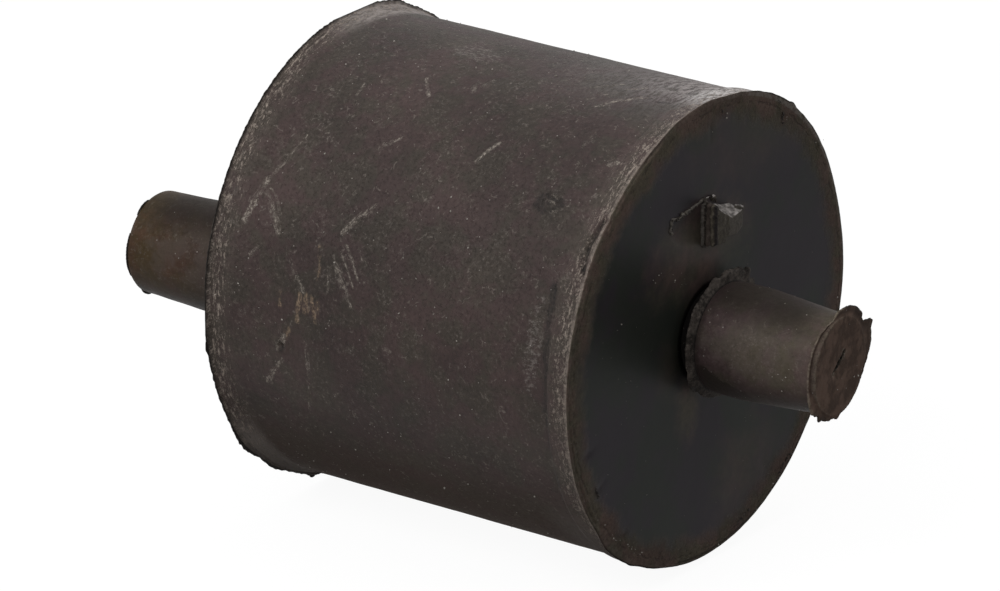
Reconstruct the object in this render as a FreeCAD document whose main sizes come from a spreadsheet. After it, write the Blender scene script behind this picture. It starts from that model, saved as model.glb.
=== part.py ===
import FreeCAD, Part
import math
import os
import Sketcher
from FreeCAD import Placement, Rotation, Vector

# A moulded rubber engine mount: a thick round block with a rubber pin on each
# end face. The front pin is on the block's axis. The rear pin stands beside it.
# X runs along the block, forwards through the front pin, and +Z is up.
# The origin is the middle of the block on its axis. All sizes are millimetres.

NODE = "rubber_mount"

# Driving sizes, one row of the sheet each
SIZES = {
    "block_radius": 34.0,
    "block_length": 63.0,
    "edge_bevel": 0.6,
    "front_band_width": 3.2,
    "front_band_radius": 34.1,
    "front_band_shift": 0.25,
    "pin_length": 22.2,
    "pin_land_radius": 8.1,
    "pin_land_length": 9.0,
    "pin_end_radius": 7.0,
    "pin_root_depth": 3.0,
    "rear_pin_offset": 17.5,
    "end_slant": 5.0,
    "neck_radius": 6.9,
    "neck_length": 2.05,
    "collar_radius": 9.0,
    "collar_height": 4.1,
    "collar_thickness": 0.5,
    "collar_tear": 1.3,
    "fin_thickness": 0.35,
    "rear_fin_reach": 0.9,
    "front_fin_reach": 0.9,
    "end_fin_reach": 1.4,
    "lug_width": 6.4,
    "lug_height": 6.0,
    "lug_rise": 2.5,
    "lug_side": 1.2,
    "lug_above_axis": 16.9,
    "lug_tear": 2.0,
    "fold_radius": 0.4,
    "fold_pitch": 1.0,
    "scar_length": 7.8,
    "scar_depth": 0.25,
    "scar_lip_rise": 0.4,
    "scar_lip_width": 0.4,
    "slit_length": 3.9,
    "slit_width": 0.4,
    "slit_depth": 1.5,
    "slit_angle": 37.0,
    "slit_side": -0.3,
    "slit_above_axis": 0.6,
}

# How far a solid is sunk into the one that carries it, so that they join
EMBED = 0.5
# Room left past a cut, so that it leaves no skin
CLEAR = 2.0

# Ragged edges. Ripples are (waves per turn, share of the reach, phase).
RIPPLES = ((7, 0.10, 0.4), (17, 0.09, 2.1), (31, 0.08, 0.9), (47, 0.06, 4.0))
# Tears are (angle in degrees from +Y towards +Z, half width, share of reach).
REAR_RIM_TEARS = ((222.0, 16.0, 0.45), (253.0, 2.6, 0.85), (72.0, 2.6, 0.3), (190.0, 3.0, 0.25))
FRONT_RIM_TEARS = ((72.0, 30.0, 1.0), (236.0, 30.0, 0.6))
COLLAR_TEARS = ((36.0, 8.0, 0.8), (59.0, 9.0, 1.0), (80.0, 8.0, 0.5), (215.0, 10.0, 0.3))
END_TEARS = ((70.0, 30.0, 1.0), (30.0, 7.0, 1.0), (6.0, 14.0, 0.5), (205.0, 14.0, 1.0),
             (226.0, 15.0, 0.85), (250.0, 15.0, 0.8), (276.0, 15.0, 0.6))
REAR_PIN_TEARS = ((252.0, 16.0, 0.8), (120.0, 9.0, 0.6))
# Below this share of its full reach a fin is broken off inside the solid.
BROKEN_OFF = 0.05
# The share of a broken fin's reach that varies from place to place
TRIM = 0.15
# Points round a rim's edge and round a pin's edge
RIM_STEPS = 144
PIN_STEPS = 96

# The rear pin's fin, as a share of the front one's reach
REAR_PIN_SHARE = 0.5

# Corners of the lug: shares of its width and height from its lower left corner,
# then the share of the tear by which the corner is raised
LUG_CORNERS = ((0.0, 0.0, 0.1), (0.35, 0.0, 0.0), (0.4, 0.0, 0.3), (0.8, 0.0, 0.25),
               (1.0, 0.0, 0.6), (1.0, 1.0, -0.95), (0.6, 1.0, -1.2), (0.0, 1.0, 0.0))
# Corners of the scar: shares of its length to the left of the lug, of the lug's
# height, and of the tear by which the corner is raised
SCAR_CORNERS = ((0.0, 0.0, 1.0), (0.0, 1.0, -0.1), (0.5, 1.0, -0.2), (0.9, 1.0, -0.6))
# The scar's lip, from over the lug outwards: shares of the scar's length to the
# left of the lug, and of the tear above the lug's top
LIP_POINTS = ((-0.35, -0.3), (-0.1, 0.2), (0.5, -0.1), (0.73, -0.35), (0.95, -0.2), (1.0, -1.0))
# How far the lip's upper edge leans out, as a share of its width
LIP_LEAN = 0.4
# Each fold beside the lug: its place in pitches from the face, and its height as
# a share of the lug's
FOLDS = ((0.0, 0.86), (1.3, 0.74))
# How far the folds start above the lug's foot, as a share of the tear
FOLD_FOOT = 0.4
# How far the folds are sunk into the lug's side, as a share of their radius
FOLD_SINK = 0.2


class Size:
    """A length with its value now and the formula that keeps it up to date."""

    def __init__(self, value, formula):
        self.value = value
        self.formula = formula

    def __add__(self, other):
        other = as_size(other)
        return Size(self.value + other.value, f"({self.formula} + {other.formula})")

    def __sub__(self, other):
        other = as_size(other)
        return Size(self.value - other.value, f"({self.formula} - {other.formula})")

    def __mul__(self, share):
        return Size(self.value * share, f"({self.formula} * {share})")

    def __neg__(self):
        return Size(-self.value, f"(-1 * {self.formula})")


def as_size(thing):
    """Give a plain number the same form as a size from the sheet."""
    return thing if isinstance(thing, Size) else Size(float(thing), str(thing))


def make_sheet(doc):
    """Write the driving sizes into a sheet, each with its name as alias."""
    sheet = doc.addObject("Spreadsheet::Sheet", "Sizes")
    for row, (name, amount) in enumerate(SIZES.items(), start=1):
        sheet.set(f"A{row}", name)
        sheet.set(f"B{row}", str(amount))
        sheet.setAlias(f"B{row}", name)
    doc.recompute()
    return sheet


DOC = FreeCAD.newDocument("engine_mount")
SHEET = make_sheet(DOC)


def value(name):
    """One size from the sheet, as a number."""
    return float(SHEET.get(name))


def size(name):
    """One size from the sheet, with the formula that a sketch or feature is bound to."""
    return Size(value(name), f"{SHEET.Name}.{name}")


def origin_plane(body, role):
    """Find one of a body's own base planes."""
    return next(item for item in body.Origin.OriginFeatures if item.Role == role)


def new_sketch(body, name, role, height=None):
    """Start a sketch on a base plane of the body, lifted along its normal."""
    sketch = body.newObject("Sketcher::SketchObject", name)
    sketch.AttachmentSupport = (origin_plane(body, role), "")
    sketch.MapMode = "FlatFace"
    if height is not None:
        sketch.setExpression("AttachmentOffset.Base.z", height.formula)
    return sketch


def hold_point(sketch, geometry, point, across, along):
    """Fix one point of a sketch at two sizes from the sketch's origin."""
    for axis, line, place in (("X", -2, across), ("Y", -1, along)):
        if place == 0:
            sketch.addConstraint(Sketcher.Constraint("PointOnObject", geometry, point, line))
            continue
        name = f"{axis.lower()}_{geometry}_{point}"
        held = Sketcher.Constraint(f"Distance{axis}", -1, 1, geometry, point, place.value)
        sketch.renameConstraint(sketch.addConstraint(held), name)
        sketch.setExpression(f"Constraints.{name}", place.formula)


def corner_vector(corner):
    """The present place of a corner, in the sketch's plane."""
    return Vector(as_size(corner[0]).value, as_size(corner[1]).value, 0)


def polygon(sketch, corners):
    """Draw a closed outline whose corners are all held by sizes."""
    count = len(corners)
    for index, corner in enumerate(corners):
        ends = corner_vector(corner), corner_vector(corners[(index + 1) % count])
        sketch.addGeometry(Part.LineSegment(*ends), False)
    for index, corner in enumerate(corners):
        before = (index - 1) % count
        sketch.addConstraint(Sketcher.Constraint("Coincident", before, 2, index, 1))
        hold_point(sketch, index, 1, *corner)


def circle(sketch, across, along, radius):
    """Draw a circle held by its centre and radius."""
    place = corner_vector((across, along))
    sketch.addGeometry(Part.Circle(place, Vector(0, 0, 1), radius.value), False)
    hold_point(sketch, 0, 3, across, along)
    held = sketch.addConstraint(Sketcher.Constraint("Radius", 0, radius.value))
    sketch.renameConstraint(held, "radius")
    sketch.setExpression("Constraints.radius", radius.formula)


def axis_line(sketch, along, length):
    """Add a construction line across the sketch to turn a profile about."""
    number = sketch.addGeometry(Part.LineSegment(corner_vector((0, along)),
                                                 corner_vector((length, along))), True)
    hold_point(sketch, number, 1, 0, along)
    hold_point(sketch, number, 2, length, along)


def turn(body, name, sketch, axis="H_Axis"):
    """Turn a profile all the way round."""
    feature = body.newObject("PartDesign::Revolution", name)
    feature.Profile = sketch
    feature.ReferenceAxis = (sketch, [axis])
    feature.Angle = 360.0
    return feature


def pad(body, name, sketch, length):
    """Raise an outline along its sketch's normal."""
    feature = body.newObject("PartDesign::Pad", name)
    feature.Profile = sketch
    feature.setExpression("Length", length.formula)
    return feature


def pocket(body, name, sketch, depth, both_ways=False):
    """Sink an outline against its sketch's normal."""
    feature = body.newObject("PartDesign::Pocket", name)
    feature.Profile = sketch
    feature.Midplane = both_ways
    feature.setExpression("Length", depth.formula)
    return feature


def add_block(body):
    """The thick round block, with the mould's slightly shifted front band."""
    half = size("block_length") * 0.5
    radius = size("block_radius")
    bevel = size("edge_bevel")
    sketch = new_sketch(body, "block_profile", "XZ_Plane")
    polygon(sketch, [(-half, 0), (-half, radius - bevel), (-half + bevel, radius),
                     (half - bevel, radius), (half, radius - bevel), (half, 0)])
    turn(body, "block", sketch)
    width = size("front_band_width")
    shift = size("front_band_shift")
    band = new_sketch(body, "front_band_outline", "YZ_Plane", half - width - bevel * 0.5)
    circle(band, -shift, -shift, size("front_band_radius"))
    pad(body, "front_band", band, width)


def add_front_pin(body):
    """The pin on the block's axis. A narrow neck lifts its collar off the face.

    It is made long here and cut off at a slant afterwards.
    """
    face = size("block_length") * 0.5
    shoulder = face + size("neck_length") + EMBED
    land_end = face + size("pin_land_length")
    end = face + size("pin_length") + CLEAR
    root = face - size("pin_root_depth")
    neck = size("neck_radius")
    land = size("pin_land_radius")
    sketch = new_sketch(body, "front_pin_profile", "XZ_Plane")
    polygon(sketch, [(root, 0), (root, neck), (shoulder, neck), (shoulder, land),
                     (land_end, land), (end, size("pin_end_radius")), (end, 0)])
    turn(body, "front_pin", sketch)


def add_rear_pin(body):
    """The pin on the rear face, beside the block's axis."""
    face = -(size("block_length") * 0.5)
    root = face + size("pin_root_depth")
    land_end = face - size("pin_land_length")
    end = face - size("pin_length")
    centre = -size("rear_pin_offset")
    land = centre - size("pin_land_radius")
    tip = centre - size("pin_end_radius")
    sketch = new_sketch(body, "rear_pin_profile", "XY_Plane")
    polygon(sketch, [(root, centre), (root, land), (land_end, land), (end, tip), (end, centre)])
    axis_line(sketch, centre, face)
    turn(body, "rear_pin", sketch, "Axis0")


def cut_slanted_end(body):
    """Cut the front pin's end off at a slant that turns it towards +Y."""
    middle = size("block_length") * 0.5 + size("pin_length")
    reach = size("pin_land_radius") + CLEAR
    lean = reach * math.tan(math.radians(value("end_slant")))
    far = middle + size("pin_land_radius")
    sketch = new_sketch(body, "slant_outline", "XY_Plane")
    polygon(sketch, [(middle + lean, -reach), (middle - lean, reach), (far, reach), (far, -reach)])
    pocket(body, "slanted_end", sketch, reach * 2, both_ways=True)


def cut_slit(body):
    """The narrow gate mark in the front pin's end."""
    turned = math.radians(value("slit_angle"))
    along = size("slit_length") * 0.5
    across = size("slit_width") * 0.5
    corners = []
    for end, side in ((-1, -1), (1, -1), (1, 1), (-1, 1)):
        over = along * (end * math.cos(turned)) - across * (side * math.sin(turned))
        up = along * (end * math.sin(turned)) + across * (side * math.cos(turned))
        corners.append((size("slit_side") + over, size("slit_above_axis") + up))
    top = size("block_length") * 0.5 + size("pin_length") + CLEAR
    sketch = new_sketch(body, "slit_outline", "YZ_Plane", top)
    polygon(sketch, corners)
    pocket(body, "slit", sketch, size("slit_depth") + CLEAR)


def lug_corner():
    """The lug's lower left corner on the face: how far to the side and how high."""
    return (size("lug_side") - size("lug_width") * 0.5,
            size("lug_above_axis") - size("lug_height") * 0.5)


def add_lug(body):
    """The locating lug: the stump that is left of it, with its top torn to a notch."""
    left, low = lug_corner()
    corners = []
    for across, up, raised in LUG_CORNERS:
        height = low + size("lug_height") * up + size("lug_tear") * raised
        corners.append((left + size("lug_width") * across, height))
    sketch = new_sketch(body, "lug_outline", "YZ_Plane", size("block_length") * 0.5 - EMBED)
    polygon(sketch, corners)
    pad(body, "lug", sketch, size("lug_rise") + EMBED)


def add_scar(body):
    """The shallow scar where the rest of the lug was."""
    left, low = lug_corner()
    corners = []
    for outwards, up, raised in SCAR_CORNERS:
        height = low + size("lug_height") * up + size("lug_tear") * raised
        corners.append((left - size("scar_length") * outwards, height))
    sketch = new_sketch(body, "scar_outline", "YZ_Plane", size("block_length") * 0.5)
    polygon(sketch, corners)
    pocket(body, "scar", sketch, size("scar_depth"))


def add_scar_lip(body):
    """The thin torn lip that runs over the lug's corner and out along the scar."""
    left, low = lug_corner()
    width = size("scar_lip_width")
    under = []
    for outwards, raised in LIP_POINTS:
        height = low + size("lug_height") + size("lug_tear") * raised
        under.append((left - size("scar_length") * outwards, height))
    over = [(side - width * LIP_LEAN, up + width) for side, up in under]
    sunk = size("scar_depth") + EMBED
    sketch = new_sketch(body, "scar_lip_outline", "YZ_Plane", size("block_length") * 0.5 - sunk)
    polygon(sketch, under + over[::-1])
    pad(body, "scar_lip", sketch, size("scar_lip_rise") + sunk)


def ripple(angle):
    """The fine unevenness of a moulded edge, in shares of its reach."""
    return sum(share * math.sin(waves * angle + phase) for waves, share, phase in RIPPLES)


def torn(angle, tears):
    """The extra reach near torn places, in shares of the reach."""
    total = 0.0
    for centre, half_width, share in tears:
        away = abs((math.degrees(angle) - centre + 180.0) % 360.0 - 180.0) / half_width
        total = max(total, share * (1.0 - away * away)) if away < 1.0 else total
    return total


def ragged_prism(steps, radius_at, slant, front, thickness):
    """A disc with a ragged edge, whose front face may lean like a pin's end."""
    angles = [math.tau * step / steps for step in range(steps)]
    lean = math.tan(math.radians(slant))
    points = []
    for angle in angles:
        radius = radius_at(angle)
        across = radius * math.cos(angle)
        points.append(Vector(front - lean * across, across, radius * math.sin(angle)))
    face = Part.Face(Part.makePolygon(points + points[:1]))
    return face.extrude(Vector(-thickness, 0, 0))


def add_solid(name, shape, place=Vector()):
    """Keep a shape made by a formula as an object of the document."""
    item = DOC.addObject("Part::Feature", name)
    item.Shape = shape
    item.Placement = Placement(place, Rotation())
    return item


def collar_radius_at(angle):
    """Edge of the collar of flash round the front pin's root."""
    edge = value("collar_radius")
    reach = edge - value("pin_land_radius")
    return edge + ripple(angle) * reach + torn(angle, COLLAR_TEARS) * value("collar_tear")


def rear_rim_radius_at(angle):
    """Edge of the fin of flash round the rear rim."""
    height = 1.0 + ripple(angle) + torn(angle, REAR_RIM_TEARS)
    return value("block_radius") + value("rear_fin_reach") * height


def broken_fin_radius(base_radius, reach, height):
    """Edge of a fin that stands only in places and is broken off between them."""
    inside = base_radius - EMBED
    return inside if height < BROKEN_OFF else inside + height * (EMBED + reach)


def front_rim_radius_at(angle):
    """Edge of the two crescents of flash on the front rim."""
    reach = value("front_fin_reach") * (1.0 + TRIM * ripple(angle))
    height = math.sqrt(torn(angle, FRONT_RIM_TEARS))
    return broken_fin_radius(value("block_radius"), reach, height)


def pin_end_radius_at(angle):
    """Edge of the fin round the front pin's end."""
    reach = value("end_fin_reach") * (1.0 - TRIM + TRIM * ripple(angle))
    height = math.sqrt(torn(angle, END_TEARS))
    return broken_fin_radius(value("pin_end_radius"), reach, height)


def rear_pin_radius_at(angle):
    """Edge of the small fin round the rear pin's end."""
    reach = value("end_fin_reach") * (REAR_PIN_SHARE + TRIM * ripple(angle))
    return broken_fin_radius(value("pin_end_radius"), reach, torn(angle, REAR_PIN_TEARS))


def make_collar():
    """The collar: flat below, sloping up to the pin, thin and ragged at its edge."""
    face = value("block_length") / 2
    low = face + value("neck_length")
    high = face + value("collar_height")
    thick = value("collar_thickness")
    land = value("pin_land_radius")
    edge = value("collar_radius")
    wide = edge + 2 * value("collar_tear")
    corners = [(low, value("neck_radius") - EMBED), (low, wide), (low + thick, wide),
               (low + thick, edge), (high, land), (high, land - EMBED)]
    section = Part.makePolygon([Vector(x, 0, r) for x, r in corners + corners[:1]])
    ring = Part.Face(section).revolve(Vector(), Vector(1, 0, 0), 360)
    outline = ragged_prism(PIN_STEPS, collar_radius_at, 0.0, high + CLEAR, high - low + 2 * CLEAR)
    return add_solid("collar", ring.common(outline))


def make_fins():
    """The thin flash left at the mould's parting lines."""
    half = value("block_length") / 2
    bevel = value("edge_bevel")
    thick = value("fin_thickness")
    end = half + value("pin_length")
    slant = value("end_slant")
    beside = Vector(0, -value("rear_pin_offset"), 0)
    rear_rim = ragged_prism(RIM_STEPS, rear_rim_radius_at, 0.0, thick - half, thick)
    front_rim = ragged_prism(RIM_STEPS, front_rim_radius_at, 0.0, half - bevel, thick)
    pin_end = ragged_prism(PIN_STEPS, pin_end_radius_at, slant, end, thick)
    rear_pin = ragged_prism(PIN_STEPS, rear_pin_radius_at, 0.0, thick - end, thick)
    return [
        add_solid("rear_rim_fin", rear_rim),
        add_solid("front_rim_fin", front_rim),
        add_solid("pin_end_fin", pin_end),
        add_solid("rear_pin_fin", rear_pin, beside),
    ]


def make_folds():
    """The upright folds of torn rubber on the lug's side."""
    left, low = lug_corner()
    foot = size("lug_tear") * FOLD_FOOT
    folds = []
    for number, (pitches, share) in enumerate(FOLDS, start=1):
        fold = DOC.addObject("Part::Cylinder", f"fold_{number}")
        forwards = size("block_length") * 0.5 + size("fold_pitch") * pitches
        beside = left + size("fold_radius") * FOLD_SINK
        fold.setExpression("Radius", size("fold_radius").formula)
        fold.setExpression("Height", (size("lug_height") * share - foot).formula)
        fold.setExpression("Placement.Base.x", forwards.formula)
        fold.setExpression("Placement.Base.y", beside.formula)
        fold.setExpression("Placement.Base.z", (low + foot).formula)
        folds.append(fold)
    return folds


def make_mount():
    """Mould the block with its pins and lug, and join on the flash."""
    body = DOC.addObject("PartDesign::Body", "moulding")
    add_block(body)
    add_front_pin(body)
    cut_slanted_end(body)
    cut_slit(body)
    add_rear_pin(body)
    add_lug(body)
    add_scar(body)
    add_scar_lip(body)
    DOC.recompute()

    whole = DOC.addObject("Part::MultiFuse", "mount")
    whole.Shapes = [body, make_collar()] + make_fins() + make_folds()
    whole.Refine = True
    whole.Label = NODE
    whole.Placement = Placement(Vector(), Rotation())
    DOC.recompute()
    return whole


def check(parts):
    """Stop before anything is written if an object failed or a shape is bad."""
    for item in DOC.Objects:
        if "Invalid" in item.State or "Error" in item.State:
            raise RuntimeError(f"{item.Name} could not be built: {item.State}")
    for part in parts:
        if part.Shape.isNull() or not part.Shape.isValid() or len(part.Shape.Solids) != 1:
            raise RuntimeError(f"{part.Label} is not one sound solid")


def main():
    os.makedirs("parts", exist_ok=True)
    parts = [make_mount()]
    check(parts)
    for part in parts:
        part.Shape.exportStep(f"parts/{part.Label}.step")
        box = part.Shape.BoundBox
        print(part.Label, round(part.Shape.Volume / 1000, 2), "cm3",
              [round(v, 2) for v in (box.XMin, box.XMax, box.YMin, box.YMax, box.ZMin, box.ZMax)],
              len(part.Shape.Faces), "faces")


main()
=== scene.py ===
import math

import bmesh
import bpy
import numpy
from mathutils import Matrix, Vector, noise


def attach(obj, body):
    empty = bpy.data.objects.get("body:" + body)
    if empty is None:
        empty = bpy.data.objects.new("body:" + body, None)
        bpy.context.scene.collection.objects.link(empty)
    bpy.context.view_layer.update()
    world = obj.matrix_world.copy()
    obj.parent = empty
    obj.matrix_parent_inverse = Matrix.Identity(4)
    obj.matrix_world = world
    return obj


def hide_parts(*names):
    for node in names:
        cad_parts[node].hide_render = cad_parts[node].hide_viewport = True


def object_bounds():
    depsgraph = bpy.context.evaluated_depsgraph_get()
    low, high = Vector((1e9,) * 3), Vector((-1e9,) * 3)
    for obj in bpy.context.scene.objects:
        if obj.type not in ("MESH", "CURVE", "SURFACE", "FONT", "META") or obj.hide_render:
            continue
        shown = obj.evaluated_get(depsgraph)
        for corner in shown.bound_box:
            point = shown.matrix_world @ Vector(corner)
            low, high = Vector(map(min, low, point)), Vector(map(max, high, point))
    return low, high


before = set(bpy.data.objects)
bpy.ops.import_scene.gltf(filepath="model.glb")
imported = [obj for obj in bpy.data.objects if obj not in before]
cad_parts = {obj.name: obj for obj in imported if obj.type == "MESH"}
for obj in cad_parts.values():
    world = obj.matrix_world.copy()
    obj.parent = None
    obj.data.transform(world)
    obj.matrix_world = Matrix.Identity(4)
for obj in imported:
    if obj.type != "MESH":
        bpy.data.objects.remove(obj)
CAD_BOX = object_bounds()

# A worn, moulded rubber engine mount. Lengths are millimetres until a mesh is
# made, and metres from then on. Angles go round the block's axis (+X), in
# degrees from +Y towards +Z.
METRES = 0.001
NODE = "rubber_mount"

# The block and its pins, as in the solid model
BLOCK_RADIUS = 34.0
HALF_LENGTH = 31.5
BAND_START = 28.0
PIN_LENGTH = 22.2
PIN_RADIUS = 8.1
REAR_PIN_SIDE = -17.5
END_SLANT = 5.0
NECK_RADIUS = 6.9
# Points of one mesh that are closer than this, in metres, are the same point
WELD = 1e-7

# Edge of the front band: (angle, radius), worn in at places and swollen at others
FRONT_EDGE = ((0, 34.05), (15, 33.85), (30, 34.15), (42, 34.35), (54, 34.4), (64, 34.45),
              (74, 34.45), (84, 34.3), (92, 34.35), (103, 34.35), (118, 34.2), (135, 34.15),
              (180, 34.25), (228, 34.5), (240, 34.45), (255, 34.25), (285, 34.1), (306, 33.9),
              (318, 33.6), (340, 33.9))
# The thin lip beyond the front band's edge: (angle, how far it stands out)
FRONT_LIP = ((0, 0.0), (24, 0.0), (34, 0.2), (46, 0.3), (51, 0.35), (54, 0.7), (56, 0.45),
             (62, 0.4), (68, 0.3), (76, 0.12), (84, 0.1), (92, 0.3), (103, 0.25), (112, 0.0),
             (180, 0.0), (218, 0.05), (226, 0.6), (236, 0.5), (242, 0.1), (260, 0.0))
# Painted shade on the front rim's very edge, as how black it is: (angle, share)
EDGE_SHADE = ((0, 1.0), (62, 1.0), (74, 0.6), (80, 0.3), (96, 0.3), (112, 0.6), (126, 0.0),
             (205, 0.0), (222, 0.5), (240, 1.0))
# The rear rim: (angle, radius of its lip, how deep the notch behind the lip is)
REAR_EDGE = ((0, 34.9, 0.3), (30, 34.85, 0.3), (66, 34.9, 0.35), (72, 35.25, 0.4),
             (84, 35.1, 0.4), (100, 34.95, 0.3), (130, 34.9, 0.25), (158, 34.85, 0.35),
             (170, 34.9, 0.7), (188, 34.95, 0.75), (196, 34.95, 0.5), (206, 35.0, 0.35),
             (214, 35.2, 0.4), (222, 35.4, 0.5), (230, 35.1, 0.4), (248, 35.0, 0.3),
             (253, 35.2, 0.4), (257, 35.0, 0.3), (300, 34.9, 0.3))
# Flash: (angle, half width, reach) of each torn stretch
REAR_FLASH = ((222, 9, 0.45), (253, 1.2, 0.4), (72, 1.8, 0.4), (190, 2.0, 0.4), (236, 6, 0.35))
REAR_PIN_FLASH = ((246, 12, 0.45), (120, 14, 0.3), (180, 30, 0.25))
COLLAR_FLAPS = ((40, 9, 0.6), (55, 5, 1.3), (66, 12, 0.75), (82, 12, 0.6), (105, 7, 0.45),
                (140, 10, 0.3), (215, 14, 0.5))
# Outline of the fin on the front pin's end: (angle, radius, how far it bends back)
END_FIN = ((0, 8.85, 0.0), (7, 9.25, 0.0), (16, 9.45, 0.0), (22, 10.1, 0.0), (26, 9.75, 0.0),
           (29, 8.95, 0.0), (34, 8.2, 0.0), (40, 8.15, 0.0), (44, 8.7, 0.0), (56, 8.75, 0.0),
           (68, 8.6, 0.0), (80, 8.4, 0.0), (92, 8.2, 0.1), (103, 7.4, 0.2), (116, 7.5, 0.4),
           (130, 7.7, 0.6), (150, 7.75, 0.7), (170, 7.8, 0.7), (190, 8.0, 0.6), (206, 8.8, 0.2),
           (212, 9.1, 0.0), (216, 8.75, 0.0), (224, 8.3, 0.0), (228, 8.75, 0.0), (234, 8.2, 0.0),
           (246, 7.95, 0.0), (259, 7.6, 0.0), (267, 7.9, 0.0), (275, 7.4, 0.0), (300, 7.4, 0.0),
           (325, 7.4, 0.0), (340, 7.7, 0.0), (350, 8.25, 0.0))

# Marks on the side, each point as (angle, millimetres along X)
GROOVE = ((135.4, 30.7), (138.8, 30.3), (142.1, 30.0), (145.9, 30.1), (149.4, 30.5))
NICK = (185.0, -18.6)
RING_SCAR = (134.8, 21.2)
PALE_STROKES = (
    # start, end, width, strength
    ((133.0, -21.9), (140.8, -23.3), 0.18, 0.35),
    ((140.8, -23.3), (146.3, -25.1), 0.25, 0.5),
    ((146.3, -25.1), (151.7, -26.1), 0.45, 0.6),
    ((151.7, -26.1), (156.8, -26.9), 0.42, 1.0),
    ((148.9, -24.4), (151.3, -23.2), 0.45, 0.35),
    ((151.3, -23.2), (154.5, -21.8), 0.55, 0.5),
    ((154.5, -21.8), (157.8, -20.7), 0.4, 0.65),
    ((148.2, -24.2), (149.9, -22.7), 0.25, 0.4),
    ((149.9, -22.7), (153.4, -21.3), 0.28, 0.4),
    ((162.2, -23.7), (163.0, -24.1), 0.16, 0.8),
    ((163.6, -24.4), (164.5, -24.9), 0.2, 0.9),
    ((145.8, -6.0), (148.4, -7.4), 0.6, 0.2),
    ((148.0, -7.2), (150.5, -8.6), 0.45, 0.5),
    ((150.5, -8.6), (154.0, -10.0), 0.35, 0.85),
    ((127.7, -7.1), (130.5, -8.7), 0.4, 0.4),
    ((130.5, -8.7), (132.8, -9.3), 0.5, 0.35),
    ((122.6, 8.3), (125.9, 7.2), 0.2, 1.0),
    ((125.9, 7.2), (129.1, 6.5), 0.18, 0.9),
    ((108.4, -9.9), (111.0, -9.1), 0.28, 0.6),
    ((111.0, -9.1), (114.1, -7.3), 0.24, 0.6),
    ((105.3, -2.2), (108.2, -2.2), 0.25, 0.4),
    ((114.9, 21.1), (117.7, 20.7), 0.2, 0.5),
    ((120.9, 26.6), (119.9, 27.5), 0.3, 1.0),
    ((109.3, -1.7), (106.0, -1.1), 0.14, 0.8),
    ((106.0, -1.1), (103.0, -0.3), 0.1, 0.7),
    ((119.1, -18.0), (114.9, -18.3), 0.16, 0.45),
    ((104.0, 17.4), (98.5, 19.6), 0.35, 0.4),
    ((101.5, 15.2), (96.0, 17.6), 0.3, 0.35),
    ((98.5, 20.4), (93.5, 22.4), 0.4, 0.45),
    ((95.5, 14.0), (90.5, 16.8), 0.3, 0.35),
    ((93.0, 18.4), (88.5, 21.0), 0.35, 0.4),
    ((156.6, -8.9), (159.5, -7.4), 0.14, 0.8),
    ((159.5, -7.4), (163.7, -5.9), 0.16, 0.75),
    ((158.6, -9.4), (162.1, -7.9), 0.12, 0.6),
    ((162.1, -7.9), (166.0, -6.4), 0.14, 0.6),
    ((162.0, -10.0), (167.4, -7.6), 0.6, 0.4),
    ((167.4, -7.6), (170.6, -6.3), 0.5, 0.4),
    ((156.6, -6.5), (161.8, -4.3), 0.4, 0.25),
    ((164.0, -17.8), (167.1, -16.2), 0.3, 0.45),
    ((167.1, -16.2), (170.2, -14.7), 0.25, 0.7),
    ((162.8, -11.1), (167.9, -10.5), 0.4, 0.25),
    ((162.7, 2.3), (166.1, 1.4), 0.2, 0.25),
    ((182.0, -14.4), (189.8, -14.1), 0.35, 0.4),
    ((189.8, -14.1), (203.4, -15.5), 0.25, 0.28),
    ((182.2, -18.0), (183.9, -18.7), 0.28, 1.0),
    ((183.6, -18.0), (184.6, -18.4), 0.3, 1.0),
    ((184.6, -19.2), (186.3, -19.3), 0.16, 0.8),
    ((134.0, 20.9), (134.5, 21.6), 0.2, 0.8),
    ((136.0, 22.6), (137.0, 21.9), 0.18, 0.8),
    ((132.4, 20.8), (132.9, 21.8), 0.15, 0.6),
    ((188.6, -18.6), (192.4, -20.3), 0.25, 0.5),
    ((192.4, -20.3), (196.1, -22.0), 0.4, 0.7),
)
TAN_STROKES = (
    ((171.0, -15.4), (177.6, -15.6), 0.3, 0.9),
    ((170.8, -14.3), (174.6, -14.2), 0.45, 0.8),
    ((170.8, -13.2), (173.8, -13.1), 0.25, 0.75),
    ((173.6, -12.8), (176.6, -12.5), 0.3, 0.8),
    ((171.6, -12.2), (174.6, -12.0), 0.2, 0.6),
    ((171.8, -18.8), (174.8, -18.7), 0.35, 0.5),
    ((180.4, -17.3), (182.4, -17.8), 0.45, 0.55),
    ((158.8, -13.2), (165.8, -12.8), 0.5, 0.3),
)
DARK_STROKES = (
    ((135.8, 30.6), (142.1, 30.05), 0.2, 0.85),
    ((142.1, 30.05), (149.0, 30.45), 0.24, 0.9),
    ((153.2, 26.6), (163.2, 27.1), 0.5, 0.9),
    ((163.2, 27.1), (184.0, 27.6), 0.46, 0.8),
    ((184.0, 27.6), (205.0, 28.2), 0.24, 0.5),
    ((95.6, 24.8), (94.6, 26.4), 0.22, 0.9),
    ((134.0, 19.3), (136.3, 19.4), 0.6, 0.9),
    ((133.2, 20.2), (133.9, 22.4), 0.6, 0.85),
    ((134.6, 22.9), (136.6, 21.8), 0.55, 0.85),
    ((136.4, 19.6), (137.0, 20.8), 0.45, 0.8),
    ((134.9, 20.5), (135.4, 21.3), 0.5, 0.5),
    ((185.2, -18.3), (186.0, -18.5), 0.28, 1.0),
    ((181.3, -17.9), (182.6, -18.8), 0.25, 0.4),
)
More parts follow.
